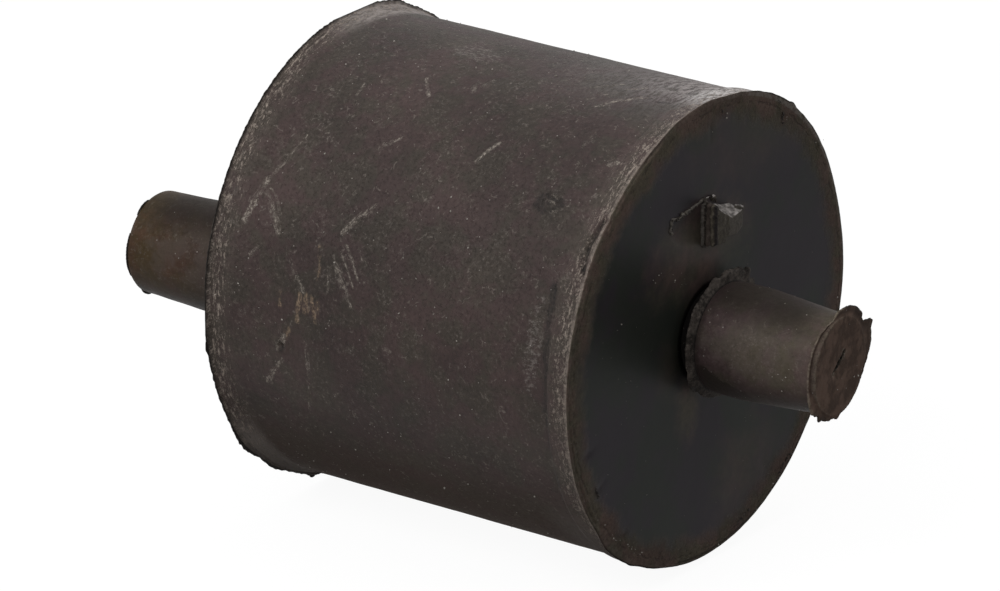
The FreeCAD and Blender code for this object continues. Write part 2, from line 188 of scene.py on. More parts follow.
# Dull, rubbed places on the side: centre, half height, half width, strength
RUBBED = (
    # The first place, over the top near the front, is painted highlight as well as rubbing
    ((84.0, 24.0), 8.0, 7.5, 0.6),
    ((93.0, -7.6), 2.6, 4.4, 0.95),
    ((107.0, 6.4), 2.6, 2.6, 0.3),
    ((178.0, -8.0), 3.6, 2.4, 0.4),
    ((221.0, -29.0), 9.0, 3.2, 0.5),
    ((233.0, -28.6), 7.0, 3.0, 0.6),
    ((169.0, 25.0), 7.5, 1.4, 0.95),
    ((196.6, -7.0), 1.0, 1.0, 0.45),
    ((219.7, -7.0), 1.4, 1.2, 0.5),
    ((209.8, -6.6), 0.9, 0.9, 0.4),
    ((150.0, 12.0), 9.0, 10.0, 0.3),
    ((103.0, 14.0), 6.0, 9.0, 0.4),
    ((157.5, -1.4), 4.0, 1.6, 0.35),
)

# Pits and chips on the front face: (Y, Z, radius, depth)
FACE_PITS = ((6.5, 32.3, 0.5, 0.25), (17.8, 26.8, 0.6, 0.2), (-0.1, 30.4, 0.4, 0.15),
             (-29.7, -9.3, 0.6, 0.3), (-27.0, -15.4, 0.5, 0.25), (14.4, -24.9, 0.35, 0.15),
             (18.2, -26.1, 0.35, 0.15), (-20.5, -24.1, 0.4, 0.2), (-26.0, -20.9, 0.5, 0.3),
             (26.8, 20.0, 0.5, 0.2), (-9.2, -33.0, 0.7, 0.25), (-17.3, -30.1, 0.6, 0.2))

# The torn lug on the front face, as in the solid model: corners as (Y, Z)
LUG_FOOT = ((-2.3, 13.7), (0.2, 13.9), (0.6, 14.5), (3.1, 14.4), (4.6, 15.1), (4.6, 18.2),
            (2.2, 18.8), (-0.3, 19.5), (-2.3, 19.9))
LUG_FRONT = ((-2.0, 14.1), (0.2, 13.9), (0.6, 14.5), (3.1, 14.4), (4.4, 15.1), (4.4, 17.6),
             (1.7, 17.2), (-0.3, 18.5), (-2.0, 19.7))
LUG_RISE = 2.5
LUG_GRAIN = 0.13
LIP_PATH = ((1.0, 19.6), (-0.3, 20.3), (-2.0, 20.4), (-4.2, 20.0), (-6.1, 19.7), (-7.7, 19.2),
            (-9.3, 19.6), (-9.9, 18.0))
FOOT_PATH = ((-2.0, 14.4), (-1.4, 13.6), (0.6, 13.7), (2.2, 14.1))
# The gate's slit in the front pin's end, from (Y, Z) to (Y, Z)
SLIT = ((-1.85, -0.57), (1.26, 1.77))
# Painted light and shade on the folds of the lug's side, pale on their ridges and near black
# between them: place along X, half width, colour
FOLD_LIGHT_AND_SHADE = ((31.75, 0.26, (0.095, 0.085, 0.075)), (32.2, 0.22, (0.010, 0.007, 0.006)),
              (32.8, 0.45, (0.055, 0.042, 0.035)), (33.45, 0.18, (0.085, 0.072, 0.055)),
              (33.85, 0.24, (0.006, 0.004, 0.004)))
# Brown smears on the front face: centre (Y, Z), half width, half height, strength
BROWN_SMEARS = ((-3.0, 13.0, 12.0, 8.0, 0.68), (-5.2, -9.6, 3.2, 5.4, 1.1),
                (9.0, -24.0, 9.0, 8.0, 0.38), (-9.5, -3.0, 3.5, 6.0, 0.25),
                (10.0, 26.0, 16.0, 7.0, 0.25))
# Small chips and crumbs on the front face, near its margin: (Y, Z) of both ends
DARK_CHIPS = (((2.6, 32.6), (2.7, 31.6)), ((17.6, 27.6), (17.8, 26.0)),
              ((16.6, 29.9), (16.9, 29.2)), ((26.9, -12.9), (27.3, -13.8)),
              ((29.2, -12.2), (29.0, -13.2)), ((28.0, -14.2), (27.2, -16.0)),
              ((-27.4, -14.6), (-26.7, -16.4)), ((20.6, -25.3), (17.6, -27.6)),
              ((10.4, -30.6), (7.4, -31.6)))
PALE_CHIPS = (((3.3, 31.9), (3.4, 30.9)), ((18.3, 27.2), (18.5, 26.2)),
              ((-0.4, 30.6), (-0.2, 29.8)), ((25.4, 20.6), (27.2, 20.9)),
              ((27.6, 20.4), (27.4, 19.4)), ((14.4, -24.9), (14.9, -25.7)),
              ((17.9, -24.2), (18.4, -24.6)), ((-24.5, -22.2), (-21.6, -24.9)),
              ((-19.8, -26.0), (-16.4, -28.3)), ((-26.8, -19.4), (-25.6, -21.0)))
DUST_PATCH = ((-15.4, 13.4), (-12.0, 12.2), (-8.9, 9.9))


def blend(low, high, amount):
    """Ease from 0 at low to 1 at high. Low may be the larger one."""
    share = min(max((amount - low) / (high - low), 0.0), 1.0)
    return share * share * (3.0 - 2.0 * share)


def round_table(table, angle, column=1):
    """Read a column of a table of angles, easing from one entry to the next all the way round."""
    angle %= 360.0
    later = next((i for i, row in enumerate(table) if row[0] > angle), 0)
    before, after = table[later - 1], table[later]
    span = (after[0] - before[0]) % 360.0
    share = blend(0.0, 1.0, ((angle - before[0]) % 360.0) / span)
    return before[column] + (after[column] - before[column]) * share


def flap_reach(flaps, angle):
    """How far the torn stretches of flash reach at an angle."""
    reach = 0.0
    for centre, half_width, most in flaps:
        away = abs((angle - centre + 180.0) % 360.0 - 180.0) / half_width
        reach = max(reach, most * (1.0 - away * away)) if away < 1.0 else reach
    return reach


def turn(angle, radius=1.0):
    """The (Y, Z) of a point at an angle and a distance from the axis."""
    turned = math.radians(angle)
    return radius * math.cos(turned), radius * math.sin(turned)


def rough(x, y, z, size, seed=0.0):
    """Smooth unevenness between about -1 and 1, with lumps of the given size."""
    return noise.noise(Vector((x / size + seed, y / size - seed, z / size + 2.0 * seed)))


def ragged(angle, fine):
    """The fine unevenness of a torn edge, from about -1 to 1."""
    return rough(*turn(angle, BLOCK_RADIUS), 0.0, fine, 1.5)


def to_line(point, start, end):
    """Distance of a point from a line between two others, in a plane."""
    along = (end[0] - start[0], end[1] - start[1])
    reach = along[0] * along[0] + along[1] * along[1]
    share = ((point[0] - start[0]) * along[0] + (point[1] - start[1]) * along[1]) / reach
    share = min(max(share, 0.0), 1.0)
    return math.hypot(point[0] - start[0] - along[0] * share,
                      point[1] - start[1] - along[1] * share)


def on_side(place):
    """A place on the side as (millimetres round, millimetres along)."""
    return math.radians(place[0]) * BLOCK_RADIUS, place[1]


def in_metres(points):
    """Points in metres, from points in millimetres."""
    return [[value * METRES for value in point] for point in points]


def placed(name, data):
    """Put a new object into the scene."""
    made = bpy.data.objects.new(name, data)
    bpy.context.scene.collection.objects.link(made)
    return made


def keep_mesh(name, mesh, smooth=True):
    """Put a mesh into the scene, closed, facing outwards and inside the solid model's box."""
    tidy = bmesh.new()
    tidy.from_mesh(mesh)
    bmesh.ops.remove_doubles(tidy, verts=tidy.verts, dist=WELD)
    bmesh.ops.recalc_face_normals(tidy, faces=tidy.faces)
    for vertex in tidy.verts:
        vertex.co = [min(max(value, low), high)
                     for value, low, high in zip(vertex.co, *CAD_BOX)]
    tidy.to_mesh(mesh)
    tidy.free()
    mesh.polygons.foreach_set("use_smooth", [smooth] * len(mesh.polygons))
    return placed(name, mesh)


def lathe(name, rows, steps, material):
    """Skin rows of points that run all the way round. A row of one point is a pole."""
    points, starts, faces = [], [], []
    for row in rows:
        starts.append(len(points))
        points.extend(row)
    for index in range(len(rows) - 1):
        low, high = starts[index], starts[index + 1]
        if len(rows[index]) == 1:
            faces += [(low, high + (s + 1) % steps, high + s) for s in range(steps)]
        elif len(rows[index + 1]) == 1:
            faces += [(low + s, low + (s + 1) % steps, high) for s in range(steps)]
        else:
            faces += [(low + s, low + (s + 1) % steps, high + (s + 1) % steps, high + s)
                      for s in range(steps)]
    mesh = bpy.data.meshes.new(name)
    mesh.from_pydata(in_metres(points), [], faces)
    mesh.materials.append(material)
    return keep_mesh(name, mesh)


def spaced(start, end, spacing):
    """Evenly spaced values from start up to, but not at, end."""
    count = max(int(round(abs(end - start) / spacing)), 1)
    return [start + (end - start) * index / count for index in range(count)]


def spaced_in_stretches(stretches):
    """Values over several stretches that follow each other, each with its own spacing."""
    return [value for stretch in stretches for value in spaced(*stretch)]


# The block

# Where its columns and rows of points stand: (from, to, spacing), closer where the marks are
COLUMN_SPACING = ((0.0, 30.0, 1.25), (30.0, 92.0, 0.6), (92.0, 212.0, 0.5), (212.0, 262.0, 1.0),
                  (262.0, 360.0, 1.5))
ROW_SPACING = ((-30.8, -12.0, 0.33), (-12.0, -4.0, 0.36), (-4.0, 5.6, 0.6), (5.6, 9.2, 0.3),
               (9.2, 18.0, 0.6), (18.0, 27.6, 0.45), (27.6, 28.4, 0.16), (28.4, 30.9, 0.28))
BLOCK_ANGLES = spaced_in_stretches(COLUMN_SPACING)
# The rounding of both rims: (place along X, how far inside the lip's radius)
REAR_RIM = ((-31.5, 1.2), (-31.5, 0.16), (-31.45, 0.03), (-31.35, 0.0), (-31.25, 0.05))
FRONT_RIM = ((31.22, 0.02), (31.32, 0.0), (31.4, 0.06), (31.45, 0.18), (31.47, 0.32),
             (31.49, 0.5))
# Rings on the faces, as radii. The front ones follow the rim's own unevenness
FACE_RINGS = (33.7, 33.2, 32.8, 32.2, 31.4, 30.4, 29.0, 27.4, 25.6, 23.8, 22.0, 20.4, 19.2, 18.2,
              17.2, 16.2, 15.2, 14.0, 12.8, 11.6, 10.0, 8.0, 5.0, 2.0)
REAR_RINGS = (32.6, 30.0, 24.0, 16.0, 8.0)
RIM_RADIUS = 34.2
# The face's finish begins inside this radius, or past this place along X where it faces forwards
FACE_RADIUS, FACE_START = 33.4, 31.35
# The marks of the side are kept outside this radius
SIDE_RADIUS = 33.0


def block_radius(angle, x):
    """Radius of the block's side, with the front band, its wear and the deep marks."""
    y, z = turn(angle, BLOCK_RADIUS)
    step = blend(BAND_START - 0.12, BAND_START + 0.12, x)
    radius = BLOCK_RADIUS + (round_table(FRONT_EDGE, angle) - BLOCK_RADIUS) * step
    radius += 0.07 * rough(x, y, z, 11.0) + 0.02 * rough(x, y, z, 2.6, 3.0)
    radius += blend(28.4, 31.2, abs(x)) * (0.05 * rough(x, y, z, 0.9, 5.0) - 0.04)
    flare = round_table(REAR_EDGE, angle) - round_table(REAR_EDGE, angle, 2) - BLOCK_RADIUS
    radius += blend(27.6, 31.1, -x) ** 2 * flare

    here = on_side((angle, x))
    line = [on_side(place) for place in GROOVE]
    gap = min(to_line(here, start, end) for start, end in zip(line, line[1:]))
    radius -= 0.6 * math.exp(-(gap / 0.32) ** 2)
    radius += 0.14 * math.exp(-((gap - 0.8) / 0.35) ** 2)

    nick = math.dist(here, on_side(NICK)) * (1.0 + 0.25 * rough(x, y, z, 0.7, 8.0))
    radius -= 0.7 * math.exp(-(nick / 0.34) ** 2)
    radius += 0.16 * math.exp(-((nick - 0.9) / 0.35) ** 2) * (1.0 + rough(x, y, z, 0.6, 2.0))

    scar = math.dist(here, on_side(RING_SCAR))
    radius -= 0.22 * math.exp(-((scar - 1.1) / 0.4) ** 2) - 0.1 * math.exp(-(scar / 0.7) ** 2)
    return radius


def face_height(y, z):
    """How far the front face stands out of its plane: pits and the scar beside the lug."""
    height = 0.03 * rough(y, z, 0.0, 9.0, 4.0) + 0.01 * rough(y, z, 0.0, 1.5, 1.0)
    for pit_y, pit_z, wide, deep in FACE_PITS:
        away = math.hypot(y - pit_y, z - pit_z) / wide
        if away < 3.0:
            height -= deep * math.exp(-away * away)
    scar = math.hypot((y + 5.6) / 3.4, (z - 17.4) / 2.3)
    return height - 0.25 * (1.0 - blend(0.6, 1.2, scar))


def rear_lip(angle):
    """Radius of the thin ragged lip on the rear rim."""
    torn = 0.07 * ragged(angle, 1.3) + 0.05 * ragged(angle, 0.5)
    return round_table(REAR_EDGE, angle) + torn


def front_lip(angle):
    """Radius of the front band's outer edge, with the thin lip where it is left."""
    lip = round_table(FRONT_LIP, angle)
    return block_radius(angle, 31.0) + lip * (1.0 + 0.2 * ragged(angle, 2.2))


def around(radius_at, x_at):
    """One row of the block: points all the way round at a radius and a place along X."""
    row = []
    for angle in BLOCK_ANGLES:
        y, z = turn(angle, radius_at(angle))
        row.append((x_at(y, z), y, z))
    return row


def make_block(side, face):
    """The thick round block, with its two worn rims."""
    def ring(radius_at, x):
        return around(radius_at, lambda y, z: x)

    rows = [[(-HALF_LENGTH, 0.0, 0.0)]]
    for radius in reversed(REAR_RINGS):
        rows.append(ring(lambda angle, r=radius: r, -HALF_LENGTH))
    for x, less in REAR_RIM:
        rows.append(ring(lambda angle, d=less: rear_lip(angle) - d, x))
    rows.append(ring(lambda angle: block_radius(angle, -31.1) - 0.12, -31.15))
    for x in [-31.0] + spaced_in_stretches(ROW_SPACING):
        rows.append(ring(lambda angle, x=x: block_radius(angle, x), x))
    for x, less in ((30.95, 0.0), (31.15, 0.04)):
        rows.append(ring(lambda angle, d=less: block_radius(angle, 31.0) - d, x))
    for x, less in FRONT_RIM:
        rows.append(ring(lambda angle, d=less: front_lip(angle) - d, x))
    for radius in FACE_RINGS:
        share = radius / RIM_RADIUS
        rows.append(around(lambda angle: share * round_table(FRONT_EDGE, angle),
                           lambda y, z: HALF_LENGTH + face_height(y, z)))
    rows.append([(HALF_LENGTH, 0.0, 0.0)])
    block = lathe("block", rows, len(BLOCK_ANGLES), side)
    block.data.materials.append(face)
    for polygon in block.data.polygons:
        x, y, z = polygon.center
        inner = math.hypot(y, z) < FACE_RADIUS * METRES and abs(x) > 30.0 * METRES
        facing = polygon.normal.x > 0.5 and x > FACE_START * METRES
        polygon.material_index = 1 if inner or facing else 0
    mark_side(block.data)
    return block


def keep_numbers(mesh, name, kind, values):
    """Store numbers on a mesh's points for its material."""
    layer = mesh.attributes.new(name, kind, "POINT")
    layer.data.foreach_set("value" if kind == "FLOAT" else "vector",
                           numpy.ascontiguousarray(values, dtype=numpy.float32).ravel())


def mark_side(mesh):
    """Store where the strokes and the rubbed places lie, for the side's material.

    Strokes are kept as how close a point is to one, and as a place along and
    across it, so that the material can draw the fine lines inside it.
    """
    points = numpy.empty(len(mesh.vertices) * 3)
    mesh.vertices.foreach_get("co", points)
    x, y, z = points.reshape(-1, 3).T / METRES
    arc = (numpy.arctan2(z, y) % math.tau) * BLOCK_RADIUS
    from_axis = numpy.hypot(y, z)
    on_the_side = from_axis > SIDE_RADIUS

    close = numpy.zeros((len(x), 3))
    inside = numpy.zeros((len(x), 3))
    best = numpy.zeros(len(x))
    for kind, strokes in enumerate((PALE_STROKES, TAN_STROKES, DARK_STROKES)):
        for number, (start, end, width, strength) in enumerate(strokes):
            (first, low), (last, high) = on_side(start), on_side(end)
            length = math.hypot(last - first, high - low)
            ahead = ((last - first) / length, (high - low) / length)
            along = (arc - first) * ahead[0] + (x - low) * ahead[1]
            across = (arc - first) * ahead[1] - (x - low) * ahead[0]
            past = numpy.maximum(numpy.maximum(along - length, -along), 0.0)
            near = 1.0 - numpy.hypot(across, past) / (1.5 * width + 0.15)
            near = numpy.clip(near, 0.0, 1.0) * strength * on_the_side
            close[:, kind] = numpy.maximum(close[:, kind], near)
            chosen = near > best
            best[chosen] = near[chosen]
            place = numpy.stack((along, across, numpy.full(len(x), number + 50.0 * kind)), axis=1)
            inside[chosen] = place[chosen]
    keep_numbers(mesh, "strokes", "FLOAT_VECTOR", close)
    keep_numbers(mesh, "in_stroke", "FLOAT_VECTOR", inside)

    rubbed = numpy.zeros(len(x))
    for centre, tall, wide, strength in RUBBED:
        middle, station = on_side(centre)
        far = numpy.hypot((arc - middle) / tall, (x - station) / wide)
        rubbed = numpy.maximum(rubbed, numpy.clip(1.6 - far, 0.0, 1.0) * strength)
    keep_numbers(mesh, "rubbed", "FLOAT", rubbed * on_the_side)

    angles = numpy.degrees(numpy.arctan2(z, y)) % 360.0
    edge, lip, tone = (numpy.interp(angles, numpy.arange(0.0, 361.0, 0.5),
                                    [round_table(table, a / 2.0) for a in range(722)])
                       for table in (FRONT_EDGE, FRONT_LIP, EDGE_SHADE))
    inside_edge = edge - from_axis
    keep_numbers(mesh, "inside_edge", "FLOAT", inside_edge)
    # Painted shade: black along the front rim's very edge
    black = numpy.clip((0.26 - inside_edge - lip) / 0.12, 0.0, 1.0) * tone * (x > 31.3)
    keep_numbers(mesh, "painted_edge_shade", "FLOAT", black)


# The pins

PIN_STEPS = 400
TAPER_START = 9.0
# The slanted end's finish begins this far back from the end, and its fin at this radius
END_DEPTH, FIN_ROOT = 2.6, 7.25
# Radii of the ragged collar: where it leaves the pin, its middle and its edge
COLLAR_ROOT, COLLAR_MIDDLE, COLLAR_EDGE = 8.05, 8.5, 9.0
# The front pin's root: (millimetres out of the block's face, radius)
PIN_ROOT = ((-3.0, NECK_RADIUS), (0.5, NECK_RADIUS), (2.3, NECK_RADIUS), (2.6, 7.6), (3.0, 7.92),
            (3.4, 8.02), (4.0, 8.06), (4.5, 8.1))
# The rear pin's end
PIN_TIP = ((21.4, 7.6), (21.8, 7.56), (22.05, 7.4), (22.2, 7.1), (22.2, 5.0), (22.2, 3.0),
           (22.2, 1.0))
# The collar's section: (out of the face, share of its reach, fixed radius or 0)
COLLAR_SECTION = ((2.05, 0.0, 6.6), (2.05, 0.5, 0.0), (2.05, 0.8, 0.0), (2.08, 0.95, 0.0),
                  (2.16, 1.03, 0.0), (2.26, 1.02, 0.0), (2.36, 0.97, 0.0), (2.46, 0.88, 0.0),
                  (2.54, 0.76, 0.0), (2.62, 0.62, 0.0), (2.7, 0.45, 0.0), (2.78, 0.28, 0.0),
                  (2.86, 0.14, 0.0), (2.95, 0.04, 0.0), (3.1, 0.0, 7.88), (3.0, 0.0, 7.5),
                  (2.8, 0.0, 7.0))


def taper(forwards):
    """How far a pin has tapered, from 0 at its parallel part to 1 at its end."""
    return max(forwards - TAPER_START, 0.0) / (PIN_LENGTH - TAPER_START)


def pin_row(forwards, radius, side, lean, direction, wobble=0.02):
    """One row of a pin: forwards from the block's face, round an axis set to the side."""
    row = []
    slope = math.tan(math.radians(END_SLANT)) * lean
    for step in range(PIN_STEPS):
        turned = math.tau * step / PIN_STEPS
        spread = radius + wobble * rough(forwards, math.cos(turned) * 8, math.sin(turned) * 8, 3.0)
        across, up = spread * math.cos(turned), spread * math.sin(turned)
        x = HALF_LENGTH + forwards - slope * across
        row.append((direction * x, side + across, up))
    return row


def slit_depth(across, up):
    """The gate's slit in the pin's end, with the small dimple at its lower end."""
    gap = to_line((across, up), *SLIT) + 0.05 * rough(across, up, 0.0, 0.5)
    dimple = math.hypot(across + 1.35, up + 0.75)
    return 1.3 * (1.0 - blend(0.1, 0.32, gap)) + 0.35 * math.exp(-(dimple / 0.5) ** 2)


def end_row(radius_at, height_at):
    """One row of the front pin's slanted end. Heights are above the block's face."""
    row = []
    slope = math.tan(math.radians(END_SLANT))
    for step in range(PIN_STEPS):
        angle = 360.0 * step / PIN_STEPS
        across, up = turn(angle, radius_at(angle))
        height = height_at(angle, across, up) - slope * across
        row.append((HALF_LENGTH + height, across, up))
    return row


def fin_radius(angle):
    """How far the ragged fin on the front pin's end reaches."""
    torn = 0.1 * ragged(angle * 0.3, 0.4) + 0.06 * ragged(angle, 1.6)
    return round_table(END_FIN, angle) + torn


def make_front_pin(material):
    """The front pin: narrow neck, taper, slanted end with a slit, and its ragged fin."""
    rows = [[(HALF_LENGTH - 3.0, 0.0, 0.0)]]
    for forwards, radius in PIN_ROOT:
        rows.append(pin_row(forwards, radius, 0.0, 0.0, 1.0))
    for forwards in spaced(5.0, 20.8, 0.45):
        radius = PIN_RADIUS - taper(forwards)
        rows.append(pin_row(forwards, radius, 0.0, blend(10.0, 20.4, forwards), 1.0))

    def bent(below):
        return lambda angle, across, up: (
            PIN_LENGTH - below - round_table(END_FIN, angle, 2)
            + 0.12 * rough(across, up, 0.0, 1.7, 5.0) * blend(6.9, 8.2, math.hypot(across, up)))

    rows.append(end_row(lambda angle: 7.2, bent(0.62)))
    rows.append(end_row(lambda angle: 0.45 * fin_radius(angle) + 0.55 * 7.2, bent(0.42)))
    for less, below in ((0.1, 0.34), (0.0, 0.2), (0.05, 0.08), (0.16, 0.0)):
        rows.append(end_row(lambda angle, d=less: fin_radius(angle) - d, bent(below)))
    rows.append(end_row(lambda angle: 0.5 * fin_radius(angle) + 0.5 * FIN_ROOT, bent(0.05)))
    rows.append(end_row(lambda angle: 7.22, bent(0.1)))

    def flat(angle, across, up):
        return (PIN_LENGTH - slit_depth(across, up) + 0.05 * rough(across, up, 0.0, 2.2, 6.0)
                + 0.025 * rough(across, up, 0.0, 0.7, 3.0))

    for radius in [7.12, 6.98, 6.8] + spaced(6.6, 0.15, 0.16):
        rows.append(end_row(lambda angle, r=radius: r, flat))
    rows.append([(HALF_LENGTH + PIN_LENGTH - slit_depth(0.0, 0.0), 0.0, 0.0)])
    pin = lathe("front_pin", rows, PIN_STEPS, material)
    mark_end(pin.data)
    return pin


def mark_end(mesh):
    """Store how far out on the fin each point lies, and where the slit and its torn edge are."""
    fin, torn, slit = [], [], []
    for vertex in mesh.vertices:
        forwards, across, up = (value / METRES for value in vertex.co)
        at_end = forwards - HALF_LENGTH > PIN_LENGTH - END_DEPTH
        radius = math.hypot(across, up)
        edge = fin_radius(math.degrees(math.atan2(up, across)) % 360.0)
        on_fin = at_end and radius > FIN_ROOT
        fin.append((radius - FIN_ROOT) / (edge - FIN_ROOT) if on_fin else 0.0)
        gap = to_line((across, up), *SLIT)
        lower = 1.0 if across - up * 0.6 > -1.0 else 0.35
        torn.append(blend(1.0, 0.35, gap) * blend(0.15, 0.3, gap) * lower if at_end else 0.0)
        width = max(1.0 - 0.45 * math.hypot(across + 0.3, up - 0.6) / 1.9, 0.4)
        inside = blend(0.42, 0.3, gap / width + 0.1 * rough(across, up, 0.0, 0.35, 7.0))
        slit.append(inside if at_end else 0.0)
    for name, values in (("slit", slit), ("fin", fin), ("torn", torn)):
        keep_numbers(mesh, name, "FLOAT", values)


def make_rear_pin(material):
    """The rear pin, beside the block's axis."""
    rows = [[(3.0 - HALF_LENGTH, REAR_PIN_SIDE, 0.0)]]
    rows.append(pin_row(-3.0, PIN_RADIUS, REAR_PIN_SIDE, 0.0, -1.0))
    for forwards in spaced(0.0, 21.4, 0.7):
        radius = PIN_RADIUS - 0.55 * taper(forwards)
        rows.append(pin_row(forwards, radius, REAR_PIN_SIDE, 0.0, -1.0, 0.05))
    for forwards, radius in PIN_TIP:
        rows.append(pin_row(forwards, radius, REAR_PIN_SIDE, 0.0, -1.0))
    rows.append([(-HALF_LENGTH - PIN_LENGTH, REAR_PIN_SIDE, 0.0)])
    return lathe("rear_pin", rows, PIN_STEPS, material)


def make_collar(material):
    """The ragged collar at the front pin's root: flat below, sloping up to the pin."""
    rows = []
    for forwards, share, fixed in COLLAR_SECTION:
        row = []
        for step in range(PIN_STEPS):
            angle = 360.0 * step / PIN_STEPS
            y, z = turn(angle)
            edge = COLLAR_EDGE + flap_reach(COLLAR_FLAPS, angle)
            edge += 0.16 * rough(y, z, 0.0, 0.09, 3.0) + 0.1 * rough(y, z, 0.0, 0.035, 6.0)
            around_y, around_z = turn(angle, COLLAR_MIDDLE)
            torn = (0.1 * rough(around_y, around_z, forwards, 0.8, 2.0)
                    + 0.06 * rough(around_y, around_z, forwards, 0.28, 4.0))
            slope = COLLAR_ROOT + share * (edge - COLLAR_ROOT) + torn * min(share, 0.8)
            radius = fixed or slope
            swell = 0.45 * blend(20.0, 60.0, angle) * (1.0 - blend(85.0, 115.0, angle))
            lift = (0.18 * rough(around_y, around_z, 0.0, 1.6, 9.0) + swell) * share
            lift = lift if forwards > 2.2 else 0.0
            row.append((HALF_LENGTH + forwards + lift, radius * y, radius * z))
        rows.append(row)
    rows.append(rows[0])
    return lathe("collar", rows, PIN_STEPS, material)


# Node trees

NUMBER, WHOLE, VECTOR = "NodeSocketFloat", "NodeSocketInt", "NodeSocketVector"
COLOUR, GEOMETRY, MATERIAL = "NodeSocketColor", "NodeSocketGeometry", "NodeSocketMaterial"


class Nodes:
    """A node tree that is being built, with short words for its nodes."""

    def __init__(self, tree):
        self.tree = tree

    def node(self, kind, inputs=None, **settings):
        """Add a node, choose its settings, feed its inputs and give back its outputs."""
        made = self.tree.nodes.new(kind)
        for key, choice in settings.items():
            setattr(made, key, choice)
        for key, given in (inputs or {}).items():
            self.feed(made.inputs[key], given)
        return made.outputs

    def feed(self, socket, given):
        """Link an output to an input, or set the input's own value."""
        if isinstance(given, bpy.types.NodeSocket):
            self.tree.links.new(given, socket)
        else:
            socket.default_value = given

    def maths(self, operation, *terms):
        """Work out one number from one or two others."""
        return self.node("ShaderNodeMath", dict(enumerate(terms)), operation=operation)[0]

    def chain(self, operation, terms):
        """Work out one number from several, from left to right."""
        whole = terms[0]
        for term in terms[1:]:
            whole = self.maths(operation, whole, term)
        return whole

    def times(self, *terms):
        return self.chain("MULTIPLY", terms)

    def plus(self, *terms):
        return self.chain("ADD", terms)

    def minus(self, *terms):
        return self.chain("SUBTRACT", terms)

    def most(self, *terms):
        return self.chain("MAXIMUM", terms)

    def apart(self, first, second):
        """How far two numbers lie apart."""
        return self.maths("ABSOLUTE", self.minus(first, second))

    def ramp(self, amount, low, high, to_low=0.0, to_high=1.0, easing="SMOOTHSTEP"):
        """Take a number from one range to another."""
        return self.node("ShaderNodeMapRange", {
            "Value": amount, "From Min": low, "From Max": high, "To Min": to_low,
            "To Max": to_high}, interpolation_type=easing)["Result"]

    def mixed(self, share, first, second):
        """Mix two colours."""
        return self.node("ShaderNodeMix", {0: share, 6: first, 7: second}, data_type="RGBA")[2]

    def vector(self, operation, inputs):
        """Work out a vector."""
        return self.node("ShaderNodeVectorMath", inputs, operation=operation)["Vector"]

    def scaled(self, vector, share):
        """Make a colour or a vector larger or smaller."""
        return self.vector("SCALE", {0: vector, "Scale": share})

    def parts(self, vector):
        """The X, Y and Z of a vector."""
        return self.node("ShaderNodeSeparateXYZ", {0: vector})

    def lumps(self, place, scale, detail=3.0, roughness=0.55, stretch=None):
        """A noise pattern as one number, stretched if wanted."""
        if stretch:
            place = self.vector("MULTIPLY", {0: place, 1: stretch})
        return self.node("ShaderNodeTexNoise", {
            "Vector": place, "Scale": scale, "Detail": detail, "Roughness": roughness})[0]


class Group(Nodes):
    """A node group. Its inputs are (name, type, start value), its outputs (name, type)."""

    def __init__(self, name, inputs, outputs, kind="ShaderNodeTree"):
        super().__init__(bpy.data.node_groups.new(name, kind))
        sockets = self.tree.interface
        for label, sort, start in inputs:
            socket = sockets.new_socket(name=label, in_out="INPUT", socket_type=sort)
            if start is not None:
                socket.default_value = start
        for label, sort in outputs:
            sockets.new_socket(name=label, in_out="OUTPUT", socket_type=sort)
        self.given = self.tree.nodes.new("NodeGroupInput").outputs
        self.result = self.tree.nodes.new("NodeGroupOutput").inputs

    def give(self, **results):
        """Feed the group's outputs, and give back the group's tree."""
        for label, socket in results.items():
            self.tree.links.new(socket, self.result[label.replace("_", " ")])
        return self.tree


# Geometry trees: flash, grains and crumbs


def dressed(group, geometry):
    """End a geometry tree: real geometry, with its material."""
    real = group.node("GeometryNodeRealizeInstances", {"Geometry": geometry})["Geometry"]
    return group.node("GeometryNodeSetMaterial", {
        "Geometry": real, "Material": group.given["Material"]})["Geometry"]


def random_vector(group, low, high):
    """A vector drawn at random between two others, from the tree's own seed."""
    return group.node("FunctionNodeRandomValue", {
        "Min": low, "Max": high, "Seed": group.given["Seed"]}, data_type="FLOAT_VECTOR")[0]


def flash_tree():
    """A thin sheet of flash that stands out from a path by the path's own reach."""
    group = Group("moulding_flash", (
        ("Path", GEOMETRY, None), ("Thickness", NUMBER, 0.0003), ("Waviness", NUMBER, 0.0001),
        ("Wave Size", NUMBER, 600.0), ("Material", MATERIAL, None)),
        (("Flash", GEOMETRY),), "GeometryNodeTree")
    reach = group.node("GeometryNodeInputNamedAttribute", {"Name": "reach"},
                       data_type="FLOAT_VECTOR")["Attribute"]
    sheet = group.node("GeometryNodeExtrudeMesh", {
        "Mesh": group.given["Path"], "Offset Scale": 0.0}, mode="EDGES")
    spread = group.node("GeometryNodeSetPosition", {
        "Geometry": sheet["Mesh"], "Selection": sheet["Top"], "Offset": reach})["Geometry"]
    fine = group.node("GeometryNodeSubdivideMesh", {"Mesh": spread, "Level": 1})["Mesh"]
    uneven = group.node("ShaderNodeTexNoise", {
        "Scale": group.given["Wave Size"], "Detail": 3.0})["Color"]
    centred = group.vector("SUBTRACT", {0: uneven, 1: (0.5, 0.5, 0.5)})
    wavy = group.node("GeometryNodeSetPosition", {
        "Geometry": fine,
        "Offset": group.scaled(centred, group.given["Waviness"])})["Geometry"]
    thick = group.node("GeometryNodeExtrudeMesh", {
        "Mesh": wavy, "Offset": (-1.0, 0.0, 0.0), "Offset Scale": group.given["Thickness"],
        "Individual": False}, mode="FACES")["Mesh"]
    joined = group.tree.nodes.new("GeometryNodeJoinGeometry")
    for sheet_side in (wavy, thick):
        group.tree.links.new(sheet_side, joined.inputs["Geometry"])
    welded = group.node("GeometryNodeMergeByDistance", {
        "Geometry": joined.outputs["Geometry"], "Distance": WELD})["Geometry"]
    return group.give(Flash=dressed(group, welded))


